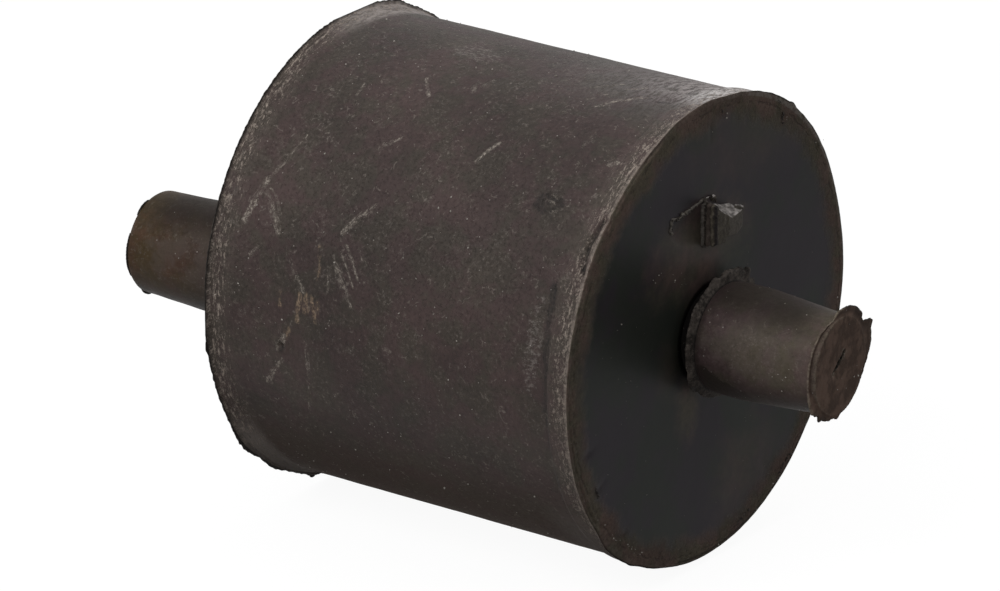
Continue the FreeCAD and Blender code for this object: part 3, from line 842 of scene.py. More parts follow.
def scattered(group, points):
    """Set a small lump on each point, turned and sized at random."""
    lump = group.node("GeometryNodeMeshIcoSphere", {"Radius": 1.0, "Subdivisions": 1})["Mesh"]
    chance = group.node("FunctionNodeRandomValue", {"Seed": group.given["Seed"]},
                        data_type="FLOAT")[1]
    size = group.ramp(group.maths("POWER", chance, 3.0), 0.0, 1.0, group.given["Smallest"],
                      group.given["Largest"], "LINEAR")
    squash = random_vector(group, (0.5, 0.5, 0.4), (1.3, 1.0, 0.9))
    return group.node("GeometryNodeInstanceOnPoints", {
        "Points": points, "Instance": lump,
        "Rotation": random_vector(group, (0.0, 0.0, 0.0), (math.tau,) * 3),
        "Scale": group.scaled(squash, size)})["Instances"]


def grain_tree():
    """Dust grains scattered over a surface, in patches and fewer on faces that look forwards."""
    group = Group("dust_grains", (
        ("Surface", GEOMETRY, None), ("Per Square Metre", NUMBER, 1000.0),
        ("Smallest", NUMBER, 0.00004), ("Largest", NUMBER, 0.0002),
        ("Share On Front", NUMBER, 1.0), ("Seed", WHOLE, 1), ("Material", MATERIAL, None)),
        (("Grains", GEOMETRY),), "GeometryNodeTree")
    patches = group.node("ShaderNodeTexNoise", {"Scale": 90.0, "Detail": 2.0})[0]
    gathered = group.ramp(patches, 0.4, 0.7, 0.15, 2.2, "LINEAR")
    forwards = group.parts(group.node("GeometryNodeInputNormal")["Normal"])["X"]
    thinned = group.ramp(forwards, 0.6, 0.9, 1.0, group.given["Share On Front"], "LINEAR")
    points = group.node("GeometryNodeDistributePointsOnFaces", {
        "Mesh": group.given["Surface"], "Seed": group.given["Seed"],
        "Density": group.times(gathered, group.given["Per Square Metre"], thinned)})["Points"]
    return group.give(Grains=dressed(group, scattered(group, points)))


def crumb_tree():
    """Torn crumbs that sit close together along a path."""
    group = Group("torn_crumbs", (
        ("Path", GEOMETRY, None), ("Spacing", NUMBER, 0.0003), ("Spread", NUMBER, 0.0003),
        ("Smallest", NUMBER, 0.00008), ("Largest", NUMBER, 0.0003), ("Seed", WHOLE, 1),
        ("Material", MATERIAL, None)), (("Crumbs", GEOMETRY),), "GeometryNodeTree")
    line = group.node("GeometryNodeMeshToCurve", {"Mesh": group.given["Path"]})["Curve"]
    points = group.node("GeometryNodeCurveToPoints", {
        "Curve": line, "Length": group.given["Spacing"]}, mode="LENGTH")["Points"]
    stray = random_vector(group, (-0.5,) * 3, (0.5,) * 3)
    loose = group.node("GeometryNodeSetPosition", {
        "Geometry": points,
        "Offset": group.scaled(stray, group.given["Spread"])})["Geometry"]
    return group.give(Crumbs=dressed(group, scattered(group, loose)))


def shown_mesh(base, modifier):
    """Run an object's modifier, keep the mesh it gives, and take both away."""
    bpy.context.view_layer.update()
    shown = base.evaluated_get(bpy.context.evaluated_depsgraph_get())
    mesh = bpy.data.meshes.new_from_object(shown)
    base.modifiers.remove(modifier)
    bpy.data.objects.remove(base)
    return mesh


def grown(name, start, tree, **sizes):
    """Run a geometry tree on a mesh and keep the result as a plain piece."""
    base = placed(name + "_base", start)
    modifier = base.modifiers.new("grow", "NODES")
    modifier.node_group = tree
    named = {item.name: item.identifier for item in tree.interface.items_tree
             if item.item_type == "SOCKET" and item.in_out == "INPUT"}
    for label, amount in sizes.items():
        modifier[named[label.replace("_", " ")]] = amount
    mesh = shown_mesh(base, modifier)
    mesh.name = name
    return keep_mesh(name, mesh, smooth=False)


def path_mesh(*paths, closed=False):
    """Lines of points, in millimetres, as one mesh of edges."""
    mesh = bpy.data.meshes.new("path")
    edges, start = [], 0
    for path in paths:
        edges += [(start + i, start + i + 1) for i in range(len(path) - 1)]
        start += len(path)
    if closed:
        edges.append((start - 1, 0))
    mesh.from_pydata(in_metres(point for path in paths for point in path), edges, [])
    return mesh


def flash_path(steps, foot, tip):
    """A closed path round an axis, whose reach runs from the foot to the tip at each angle."""
    angles = [360.0 * step / steps for step in range(steps)]
    feet = [Vector(foot(angle)) for angle in angles]
    mesh = path_mesh(feet, closed=True)
    reach = mesh.attributes.new("reach", "FLOAT_VECTOR", "POINT")
    for index, angle in enumerate(angles):
        reach.data[index].vector = (Vector(tip(angle)) - feet[index]) * METRES
    return mesh


def at_angle(x, angle, radius, side=0.0):
    """A point at an angle round an axis along X."""
    across, up = turn(angle, radius)
    return x, side + across, up


def make_flash(tree, material):
    """Torn flash along the rear rim's lip and round the rear pin's end."""
    def rim_foot(angle):
        return at_angle(0.1 - HALF_LENGTH, angle, rear_lip(angle) - 0.3)

    def rim_tip(angle):
        reach = 0.1 + 0.12 * ragged(angle, 0.9) + 0.08 * ragged(angle, 0.4)
        torn = flap_reach(REAR_FLASH, angle)
        reach = max(reach, torn * (1.0 + 0.4 * ragged(angle, 0.7)))
        return at_angle(0.1 - HALF_LENGTH, angle, rear_lip(angle) + reach)

    def pin_foot(angle):
        return at_angle(0.35 - HALF_LENGTH - PIN_LENGTH, angle, 7.0, REAR_PIN_SIDE)

    def pin_tip(angle):
        reach = flap_reach(REAR_PIN_FLASH, angle)
        reach += 0.08 * ragged(angle, 1.3) if reach > 0.05 else -0.3
        return at_angle(0.25 - HALF_LENGTH - PIN_LENGTH, angle, 7.45 + reach, REAR_PIN_SIDE)

    return [
        grown("rear_rim_flash", flash_path(1400, rim_foot, rim_tip), tree, Thickness=-0.00012,
              Waviness=0.00006, Wave_Size=900.0, Material=material),
        grown("rear_pin_flash", flash_path(300, pin_foot, pin_tip), tree, Thickness=-0.00018,
              Waviness=0.00008, Wave_Size=1200.0, Material=material),
    ]


# The torn lug


def prism(builder, foot, front, low, high):
    """Add a block on the front face, between two outlines, to a mesh being built."""
    rings = [[builder.verts.new((x, y, z)) for y, z in outline]
             for x, outline in ((low, foot), (high, front))]
    count = len(foot)
    for index in range(count):
        after = (index + 1) % count
        builder.faces.new((rings[0][index], rings[0][after], rings[1][after], rings[1][index]))
    builder.faces.new(rings[0])
    builder.faces.new(rings[1][::-1])


def ball(builder, centre, size):
    """Add a rough ball, in millimetres, to a mesh that is being built."""
    made = bmesh.ops.create_icosphere(builder, subdivisions=2, radius=1.0)
    for vertex in made["verts"]:
        vertex.co = Vector([c + s * v for c, s, v in zip(centre, size, vertex.co)])


def ridge(builder, start, end, radius):
    """Add a row of balls close enough to melt into one ridge."""
    start, end = Vector(start), Vector(end)
    count = max(int((end - start).length / (radius * 0.5)), 1)
    for index in range(count + 1):
        centre = start.lerp(end, index / count)
        swell = radius * (1.0 + 0.35 * rough(*centre, 0.8, 4.0))
        ball(builder, centre + Vector((0.0, 0.25 * rough(*centre, 1.1, 1.0), 0.0)), (swell,) * 3)


def make_lug(material):
    """The torn stump, the folds on its side and the lip along the scar, melted into one."""
    builder = bmesh.new()
    face = HALF_LENGTH
    prism(builder, LUG_FOOT, LUG_FRONT, face - 0.6, face + LUG_RISE)
    for side, forwards, low, high, radius in ((-2.1, 0.05, 13.9, 19.3, 0.36),
                                              (-2.1, 1.05, 14.0, 19.6, 0.3),
                                              (-2.15, 1.85, 14.1, 19.7, 0.34)):
        ridge(builder, (face + forwards, side, low), (face + forwards, side, high), radius)
    for start, end in zip(LIP_PATH, LIP_PATH[1:]):
        ridge(builder, (face, *start), (face, *end), 0.24)
    ridge(builder, (face + 0.2, -1.6, 19.9), (face + 2.2, -1.6, 19.6), 0.3)
    ridge(builder, (face + 1.6, 4.2, 18.0), (face + 2.6, 4.2, 18.1), 0.28)
    for side, up, size in ((-1.6, 13.5, 0.35), (0.9, 13.6, 0.3), (2.0, 14.0, 0.25),
                           (-9.5, 17.6, 0.25), (-6.9, 19.6, 0.35), (0.6, 20.1, 0.35)):
        ball(builder, (face + 0.1, side, up), (size, size * 1.2, size))
    mesh = bpy.data.meshes.new("lug_rough")
    builder.to_mesh(mesh)
    builder.free()

    rough_lug = placed("lug_rough", mesh)
    melt = rough_lug.modifiers.new("melt", "REMESH")
    melt.mode = "VOXEL"
    melt.voxel_size = LUG_GRAIN
    melted = shown_mesh(rough_lug, melt)
    for vertex in melted.vertices:
        place = vertex.co.copy()
        torn = blend(17.0, 19.0, place.z) + 0.35
        shift = torn * (0.16 * rough(*place, 0.7, 1.0) + 0.1 * rough(*place, 0.28, 2.0))
        vertex.co = (place + vertex.normal * shift) * METRES
    melted.materials.clear()
    melted.materials.append(material)
    return keep_mesh("lug", melted)


# Shader groups: each gives out colours, masks or heights


def position_group():
    """Where a point lies: in millimetres, unrolled round an axis, and how far from it."""
    effect = Group("place_on_the_rubber", (
        ("Axis Side", NUMBER, 0.0), ("Radius", NUMBER, BLOCK_RADIUS)), (
        ("Position", VECTOR), ("Unrolled", VECTOR), ("Along", NUMBER), ("From Axis", NUMBER),
        ("Angle", NUMBER)))
    here = effect.scaled(effect.node("ShaderNodeTexCoord")["Object"], 1.0 / METRES)
    parts = effect.parts(here)
    side = effect.minus(parts["Y"], effect.given["Axis Side"])
    back, down = effect.times(side, -1.0), effect.times(parts["Z"], -1.0)
    angle = effect.plus(effect.maths("ARCTAN2", down, back), math.pi)
    arc = effect.times(angle, effect.given["Radius"])
    away = effect.maths("SQRT", effect.plus(effect.times(side, side), effect.times(down, down)))
    unrolled = effect.node("ShaderNodeCombineXYZ", {"X": arc, "Y": parts["X"]})[0]
    return effect.give(Position=here, Unrolled=unrolled, Along=parts["X"], From_Axis=away,
                       Angle=effect.maths("DEGREES", angle))


def mottle_group():
    """Blotches of two tones, warm and cool, with darker and paler clouds."""
    effect = Group("rubber_blotches", (
        ("Position", VECTOR, None), ("Warm", COLOUR, (0.05, 0.04, 0.036, 1)),
        ("Cool", COLOUR, (0.04, 0.04, 0.036, 1)), ("Cloud Depth", NUMBER, 0.25)), (
        ("Colour", COLOUR),))
    place = effect.given["Position"]
    tones = effect.ramp(effect.lumps(place, 0.21, 3.0, 0.6), 0.4, 0.6)
    colour = effect.mixed(tones, effect.given["Warm"], effect.given["Cool"])
    broad, fine = effect.lumps(place, 0.06, 2.0, 0.5), effect.lumps(place, 0.8, 5.0, 0.75)
    clouds = effect.plus(effect.times(broad, 1.1), effect.times(fine, 0.9))
    swing = effect.times(effect.minus(clouds, 1.0), effect.given["Cloud Depth"])
    return effect.give(Colour=effect.scaled(colour, effect.plus(effect.times(swing, 4.0), 1.0)))


def grain_group():
    """The fine grain of old rubber: a height, and pale specks of dust as a mask."""
    effect = Group("rubber_grain", (
        ("Position", VECTOR, None), ("Speck Share", NUMBER, 0.04)), (
        ("Height", NUMBER), ("Specks", NUMBER)))
    place = effect.given["Position"]
    height = effect.plus(effect.times(effect.lumps(place, 1.4, 4.0, 0.6), 0.6),
                         effect.times(effect.lumps(place, 7.0, 3.0, 0.6), 0.4))
    cells = effect.node("ShaderNodeTexVoronoi", {"Vector": place, "Scale": 1.3})
    chance = effect.node("ShaderNodeSeparateColor", {0: cells["Color"]})[0]
    there = effect.maths("LESS_THAN", chance, effect.given["Speck Share"])
    near = effect.ramp(cells["Distance"], 0.16, 0.08)
    return effect.give(Height=height, Specks=effect.times(there, near))


def grit_group():
    """Ground-in grit: pale and dark grains in patches, and short curled scratches."""
    effect = Group("ground_in_grit", (
        ("Position", VECTOR, None), ("Patchiness", NUMBER, 0.2)), (
        ("Pale", NUMBER), ("Dark", NUMBER), ("Scratches", NUMBER)))
    place, least = effect.given["Position"], effect.given["Patchiness"]
    grains = effect.lumps(place, 1.9, 4.0, 0.85)
    patches = effect.ramp(effect.lumps(place, 0.2, 4.0, 0.75), 0.42, 0.6)
    held = effect.plus(effect.times(patches, effect.minus(1.0, least)), least)
    shift = effect.node("ShaderNodeTexNoise", {
        "Vector": place, "Scale": 0.5, "Detail": 2.0})["Color"]
    bent = effect.vector("MULTIPLY_ADD", {0: shift, 1: (4.0, 4.0, 4.0), 2: place})
    cells = effect.node("ShaderNodeTexVoronoi", {"Vector": bent, "Scale": 0.4},
                        feature="DISTANCE_TO_EDGE")
    line = effect.ramp(cells["Distance"], 0.045, 0.015)
    short = effect.ramp(effect.lumps(place, 0.62, 2.0, 0.6), 0.57, 0.62)
    return effect.give(Pale=effect.times(effect.ramp(grains, 0.545, 0.64), held),
                       Dark=effect.ramp(grains, 0.46, 0.36),
                       Scratches=effect.times(line, short, effect.ramp(grains, 0.4, 0.55)))


def rim_wear_group():
    """Rubbing along a rim: pale grains and streaks, fewer and fewer away from the rim, and a pale
    line at its very edge that is wear and painted highlight.
    """
    effect = Group("rim_wear", (
        ("Unrolled", VECTOR, None), ("Along", NUMBER, 0.0), ("Rim", NUMBER, HALF_LENGTH),
        ("Width", NUMBER, 4.0), ("Streaks", NUMBER, 0.5), ("Bright Edge", NUMBER, 0.7)), (
        ("Pale", NUMBER), ("Dark", NUMBER)))
    place = effect.given["Unrolled"]
    inwards = effect.apart(effect.given["Along"], effect.given["Rim"])
    wander = effect.lumps(place, 0.16, 3.0)
    reach = effect.times(effect.given["Width"], effect.plus(wander, 0.5))
    depth = effect.maths("DIVIDE", inwards, reach)
    grains = effect.lumps(place, 1.5, 4.0, 0.9, (0.8, 1.2, 1.0))
    lines = effect.lumps(place, 1.5, 4.0, 0.9, (0.34, 1.5, 1.0))
    both = effect.node("ShaderNodeMix", {0: effect.given["Streaks"], 2: grains, 3: lines},
                       data_type="FLOAT")[0]
    cut = effect.ramp(depth, 0.3, 1.4, 0.512, 0.64)
    pale = effect.ramp(effect.minus(both, cut), -0.02, 0.05)
    film = effect.times(effect.ramp(depth, 1.1, 0.8), 0.05)
    broken = effect.ramp(effect.lumps(place, 0.8, 4.0, 0.85), 0.4, 0.56, 0.3, 1.0)
    # Painted highlight on the rim's rounded edge, with wear: a broken pale line along its very
    # edge
    edge = effect.times(effect.ramp(inwards, 0.75, 0.5), effect.given["Bright Edge"], broken)
    dark = effect.times(effect.ramp(both, 0.46, 0.38), effect.ramp(depth, 1.15, 0.8))
    return effect.give(Pale=effect.most(pale, film, edge), Dark=dark)


def stroke_group():
    """The strokes on the side, drawn as fine broken lines that run along each of them."""
    effect = Group("strokes", (
        ("Unrolled", VECTOR, None), ("Close", VECTOR, None), ("In Stroke", VECTOR, None)), (
        ("Pale", NUMBER), ("Tan", NUMBER), ("Dark", NUMBER)))
    place = effect.given["In Stroke"]
    hairs = effect.ramp(effect.lumps(place, 1.0, 4.0, 0.8, (0.6, 2.2, 1.7)), 0.38, 0.56, 0.15, 1.0)
    grit = effect.ramp(effect.lumps(effect.given["Unrolled"], 2.2, 3.0, 0.85), 0.42, 0.56,
                       0.12, 1.0)
    broken = effect.times(hairs, grit)
    frayed = effect.lumps(place, 1.0, 3.0, 0.7, (0.5, 1.4, 2.3))
    uneven = effect.times(effect.minus(frayed, 0.5), 2.0)
    kinds = effect.parts(effect.given["Close"])
    drawn = {}
    for label, kind, least in (("Pale", "X", 0.0), ("Tan", "Y", 0.0), ("Dark", "Z", 0.55)):
        torn = effect.times(uneven, effect.ramp(kinds[kind], 0.02, 0.2))
        torn = effect.plus(kinds[kind], torn)
        drawn[label] = effect.times(effect.ramp(torn, 0.1, 0.62), effect.most(broken, least))
    return effect.give(**drawn)


def rubbed_group():
    """Broken marks inside a soft mask, as on a rubbed place."""
    effect = Group("rubbed_place", (
        ("Unrolled", VECTOR, None), ("Reach", NUMBER, 0.0)), (("Mask", NUMBER),))
    place, reach = effect.given["Unrolled"], effect.given["Reach"]
    fine = effect.lumps(place, 1.3, 5.0, 0.85, (1.3, 0.8, 1.0))
    wander = effect.times(effect.minus(effect.lumps(place, 0.4, 3.0, 0.7), 0.5), 0.5)
    cut = effect.ramp(effect.plus(reach, wander), 0.0, 1.0, 0.66, 0.5)
    marks = effect.ramp(effect.minus(fine, cut), -0.02, 0.07)
    return effect.give(Mask=effect.times(marks, effect.ramp(reach, 0.02, 0.3)))


# Materials

GRIME = (0.014, 0.011, 0.009)
# The tone of painted shade, for the side's underside and for the pins
PAINTED_SHADE = (0.014, 0.0105, 0.009)
DUST_TONE = (0.34, 0.31, 0.28)


def emptied(owner):
    """The node tree of a material or a world, with nothing in it."""
    owner.use_nodes = True
    owner.node_tree.nodes.clear()
    return owner.node_tree


class Finish(Nodes):
    """A material that is being built: its shader, its colour so far and the shared effects."""

    def __init__(self, name, groups, roughness, specular, **place):
        self.material = bpy.data.materials.new(name)
        super().__init__(emptied(self.material))
        self.groups = groups
        shader = self.node("ShaderNodeBsdfPrincipled", {
            "Roughness": roughness, "Specular IOR Level": specular})[0]
        self.surface = shader.node.inputs
        self.node("ShaderNodeOutputMaterial", {"Surface": shader})
        self.place = self.effect("place", **place)
        self.position = self.place["Position"]
        self.colour = None

    def effect(self, name, **inputs):
        """Place a shared effect and feed its named inputs."""
        named = {label.replace("_", " "): given for label, given in inputs.items()}
        return self.node("ShaderNodeGroup", named, node_tree=self.groups[name])

    def blotches(self, warm, cool, depth, place=None):
        """The rubber's own colour, in two tones."""
        place = self.position if place is None else place
        return self.effect("mottle", Position=place, Warm=(*warm, 1), Cool=(*cool, 1),
                           Cloud_Depth=depth)["Colour"]

    def grain_and_grit(self, speck_share, patchiness):
        """The rubber's grain and the grit in it."""
        return (self.effect("grain", Position=self.position, Speck_Share=speck_share),
                self.effect("grit", Position=self.position, Patchiness=patchiness))

    def stored(self, name, output="Fac"):
        """Read numbers that are kept on the mesh."""
        return self.node("ShaderNodeAttribute", attribute_name=name)[output]

    def facing(self, axis):
        """How far the surface faces along an axis, from -1 to 1."""
        return self.parts(self.node("ShaderNodeNewGeometry")["Normal"])[axis]

    def angle(self, *limits):
        """Ease over the angle round the axis."""
        return self.ramp(self.place["Angle"], *limits)

    def along(self, *limits):
        """Ease over the millimetres along the axis."""
        return self.ramp(self.place["Along"], *limits)

    def patchy(self, scale, detail, roughness, *limits):
        """A mask of patches, from a noise pattern."""
        return self.ramp(self.lumps(self.position, scale, detail, roughness), *limits)

    def paint(self, tone, *masks):
        """Lay a tone over the colour, as far as all the masks together let it."""
        tone = tone if isinstance(tone, bpy.types.NodeSocket) else (*tone, 1)
        self.colour = self.mixed(self.times(*masks), self.colour, tone)

    def done(self, height, strength, distance, roughness=None):
        """Feed the shader its colour, roughness and bump, and give back the material."""
        bump = self.node("ShaderNodeBump", {
            "Height": height, "Strength": strength, "Distance": distance})
        self.feed(self.surface["Base Color"], self.colour)
        self.feed(self.surface["Normal"], bump["Normal"])
        if roughness is not None:
            self.feed(self.surface["Roughness"], roughness)
        return self.material


def side_material(groups):
    """The block's side: blotched brown-grey, rubbed at both rims, scratched and dusty, with
    painted highlight, painted sheen and painted shade.
    """
    coat = Finish("block_side_rubber", groups, 0.62, 0.22)
    unrolled = coat.place["Unrolled"]
    coat.colour = coat.blotches((0.0515, 0.0335, 0.0312), (0.0440, 0.0345, 0.0278), 0.3)
    grain, grit = coat.grain_and_grit(0.1, 0.12)
    coat.paint(GRIME, grit["Dark"], 0.3)
    # Painted shade: darker where the side faces down
    below = coat.ramp(coat.facing("Z"), -0.15, -0.85)
    coat.paint(PAINTED_SHADE, below, 0.3)
    underside = coat.times(coat.angle(200.0, 224.0), coat.angle(345.0, 305.0))
    coat.paint((0.046, 0.0285, 0.018), underside, 0.5)

    # Pale films, dust and painted highlight together: over the top, brighter and brighter towards
    # the front, and at the rear rim
    brushed = coat.lumps(unrolled, 1.0, 5.0, 0.8, (0.5, 1.5, 1.0))
    coat.paint((0.155, 0.138, 0.134), coat.angle(112.0, 82.0), coat.angle(24.0, 52.0),
               coat.ramp(brushed, 0.42, 0.56, 0.2, 1.0), coat.along(-6.0, 27.0), 0.85)
    coat.paint((0.38, 0.34, 0.33), coat.angle(99.0, 80.0), coat.angle(40.0, 60.0),
               coat.along(14.0, 27.0), coat.ramp(brushed, 0.43, 0.57, 0.0, 0.85))
    # Painted highlight: a near-white glint over the top of the front band
    coat.paint((0.8, 0.77, 0.76), coat.along(25.5, 30.0), coat.angle(97.0, 86.0),
               coat.angle(60.0, 74.0), coat.ramp(brushed, 0.42, 0.56, 0.1, 0.75))
    coat.paint((0.36, 0.32, 0.30), coat.along(-27.0, -29.5), coat.angle(106.0, 82.0),
               coat.angle(45.0, 66.0), coat.ramp(brushed, 0.4, 0.56, 0.3, 0.95))
    # Painted sheen: a pale reflection along the lower stretch of both rims, strongest at the rear
    painted_sheen = coat.most(coat.along(-26.5, -29.5, 0.0, 0.85), coat.along(20.0, 27.0, 0.0, 0.3))
    coat.paint((0.36, 0.315, 0.29), coat.angle(208.0, 226.0), coat.angle(262.0, 246.0), painted_sheen)

    coat.paint((0.15, 0.128, 0.112), grit["Pale"], 0.6,
               coat.minus(1.0, coat.times(underside, 0.6)))
    coat.paint((0.2, 0.172, 0.15), grit["Scratches"], 0.5)
    rubbed = coat.effect("rubbed", Unrolled=unrolled, Reach=coat.stored("rubbed"))["Mask"]
    coat.paint((0.18, 0.157, 0.144), rubbed, 0.7)
    rear, front = (
        coat.effect("rim", Unrolled=unrolled, Along=coat.place["Along"], Rim=rim, Width=width,
                    Streaks=streaks, Bright_Edge=line)
        for rim, width, streaks, line in (
            (-HALF_LENGTH, coat.angle(100.0, 225.0, 3.2, 4.6), 0.6, 0.2),
            (HALF_LENGTH, coat.angle(150.0, 215.0, 4.0, 3.0), 0.5, 0.6)))
    worn = coat.most(rear["Pale"], front["Pale"])
    coat.paint((0.012, 0.009, 0.007), coat.most(rear["Dark"], front["Dark"]), 0.68)
    coat.paint((0.40, 0.335, 0.285), worn, coat.angle(205.0, 225.0, 0.8, 1.0),
               coat.angle(300.0, 250.0, 0.35, 1.0), coat.angle(30.0, 70.0, 0.44, 1.0))

    strokes = coat.effect("stroke", Unrolled=unrolled, Close=coat.stored("strokes", "Vector"),
                          In_Stroke=coat.stored("in_stroke", "Vector"))
    coat.paint((0.01, 0.008, 0.007), strokes["Dark"])
    coat.paint((0.27, 0.195, 0.135), strokes["Tan"])
    coat.paint((0.4, 0.35, 0.3), strokes["Pale"])
    coat.paint(DUST_TONE, grain["Specks"], 0.7)
    # Painted shade: black on the rear lip and along the front rim's very edge
    lip = coat.most(coat.along(-31.12, -31.34, 0.0, 0.85), coat.stored("painted_edge_shade"))
    coat.paint((0.008, 0.0065, 0.006), lip)
    dull = coat.plus(coat.times(grain["Height"], 0.25), 0.48,
                     coat.times(coat.most(below, lip), 0.4))
    height = coat.minus(coat.plus(grain["Height"], coat.times(worn, 0.5)),
                        coat.times(strokes["Pale"], 0.8), coat.times(grit["Dark"], 0.3))
    return coat.done(height, 0.8, 0.00016, dull)


def face_material(groups):
    """The block's faces: satin black, brown towards the rim, the lug and the pin, with painted
    shade round the pin's neck and along the rim's very edge.
    """
    coat = Finish("block_face_rubber", groups, 0.42, 0.06)
    parts = coat.parts(coat.position)
    ahead = coat.ramp(parts["X"], 30.0, 31.0)
    cloud = coat.lumps(coat.position, 0.16, 4.0, 0.65)
    coat.colour = coat.blotches((0.0250, 0.0205, 0.0255), (0.0212, 0.0235, 0.0198), 0.08,
                                coat.scaled(coat.position, 0.4))
    brown = coat.blotches((0.110, 0.076, 0.063), (0.084, 0.071, 0.051), 0.34)
    from_edge = coat.stored("inside_edge")
    margin = coat.ramp(coat.minus(from_edge, coat.times(cloud, 6.0)), 2.0, -1.6)
    coat.paint(brown, margin, 0.95)
    for side, up, wide, tall, share in BROWN_SMEARS:
        spot = coat.node("ShaderNodeCombineXYZ", {
            "X": coat.times(coat.minus(parts["Y"], side), 1.0 / wide),
            "Y": coat.times(coat.minus(parts["Z"], up), 1.0 / tall)})[0]
        far = coat.node("ShaderNodeVectorMath", {0: spot}, operation="LENGTH")["Value"]
        smear = coat.ramp(coat.plus(far, coat.times(cloud, 1.6)), 2.1, 0.9)
        coat.paint(brown, smear, ahead, share)

    grain, grit = coat.grain_and_grit(0.01, 0.5)
    coat.paint((0.17, 0.145, 0.12), margin, grit["Pale"], 0.5)
    wander = coat.times(coat.lumps(coat.position, 0.45, 3.0, 0.7), 1.6)
    crease = coat.apart(coat.minus(from_edge, wander), 0.55)
    crease = coat.times(coat.ramp(crease, 0.3, 0.05), coat.patchy(0.35, 3.0, 0.8, 0.46, 0.56))
    crease = coat.most(crease, coat.times(margin, grit["Dark"]))
    coat.paint(GRIME, crease, 0.45)
    coat.paint((0.20, 0.18, 0.16), coat.ramp(from_edge, 0.62, 0.4),
               coat.patchy(0.8, 4.0, 0.85, 0.42, 0.56, 0.2, 1.0),
               coat.angle(92.0, 66.0, 0.15, 1.0), 0.85)
    # Painted shade: black on the face round the pin's neck, under the collar
    coat.paint((0.003, 0.002, 0.002), coat.ramp(coat.place["From Axis"], 8.0, 7.4), ahead, 0.95)
    coat.paint((0.16, 0.15, 0.14), grain["Specks"], 0.5)
    # Painted shade along the front rim's very edge
    black = coat.stored("painted_edge_shade")
    coat.paint((0.006, 0.005, 0.0045), black)
    dull = coat.plus(coat.times(margin, 0.3), 0.4, coat.times(black, 0.25))
    height = coat.times(grain["Height"], coat.plus(coat.times(margin, 2.4), 0.2))
    return coat.done(coat.minus(height, coat.times(crease, 1.2)), 0.5, 0.00012, dull)


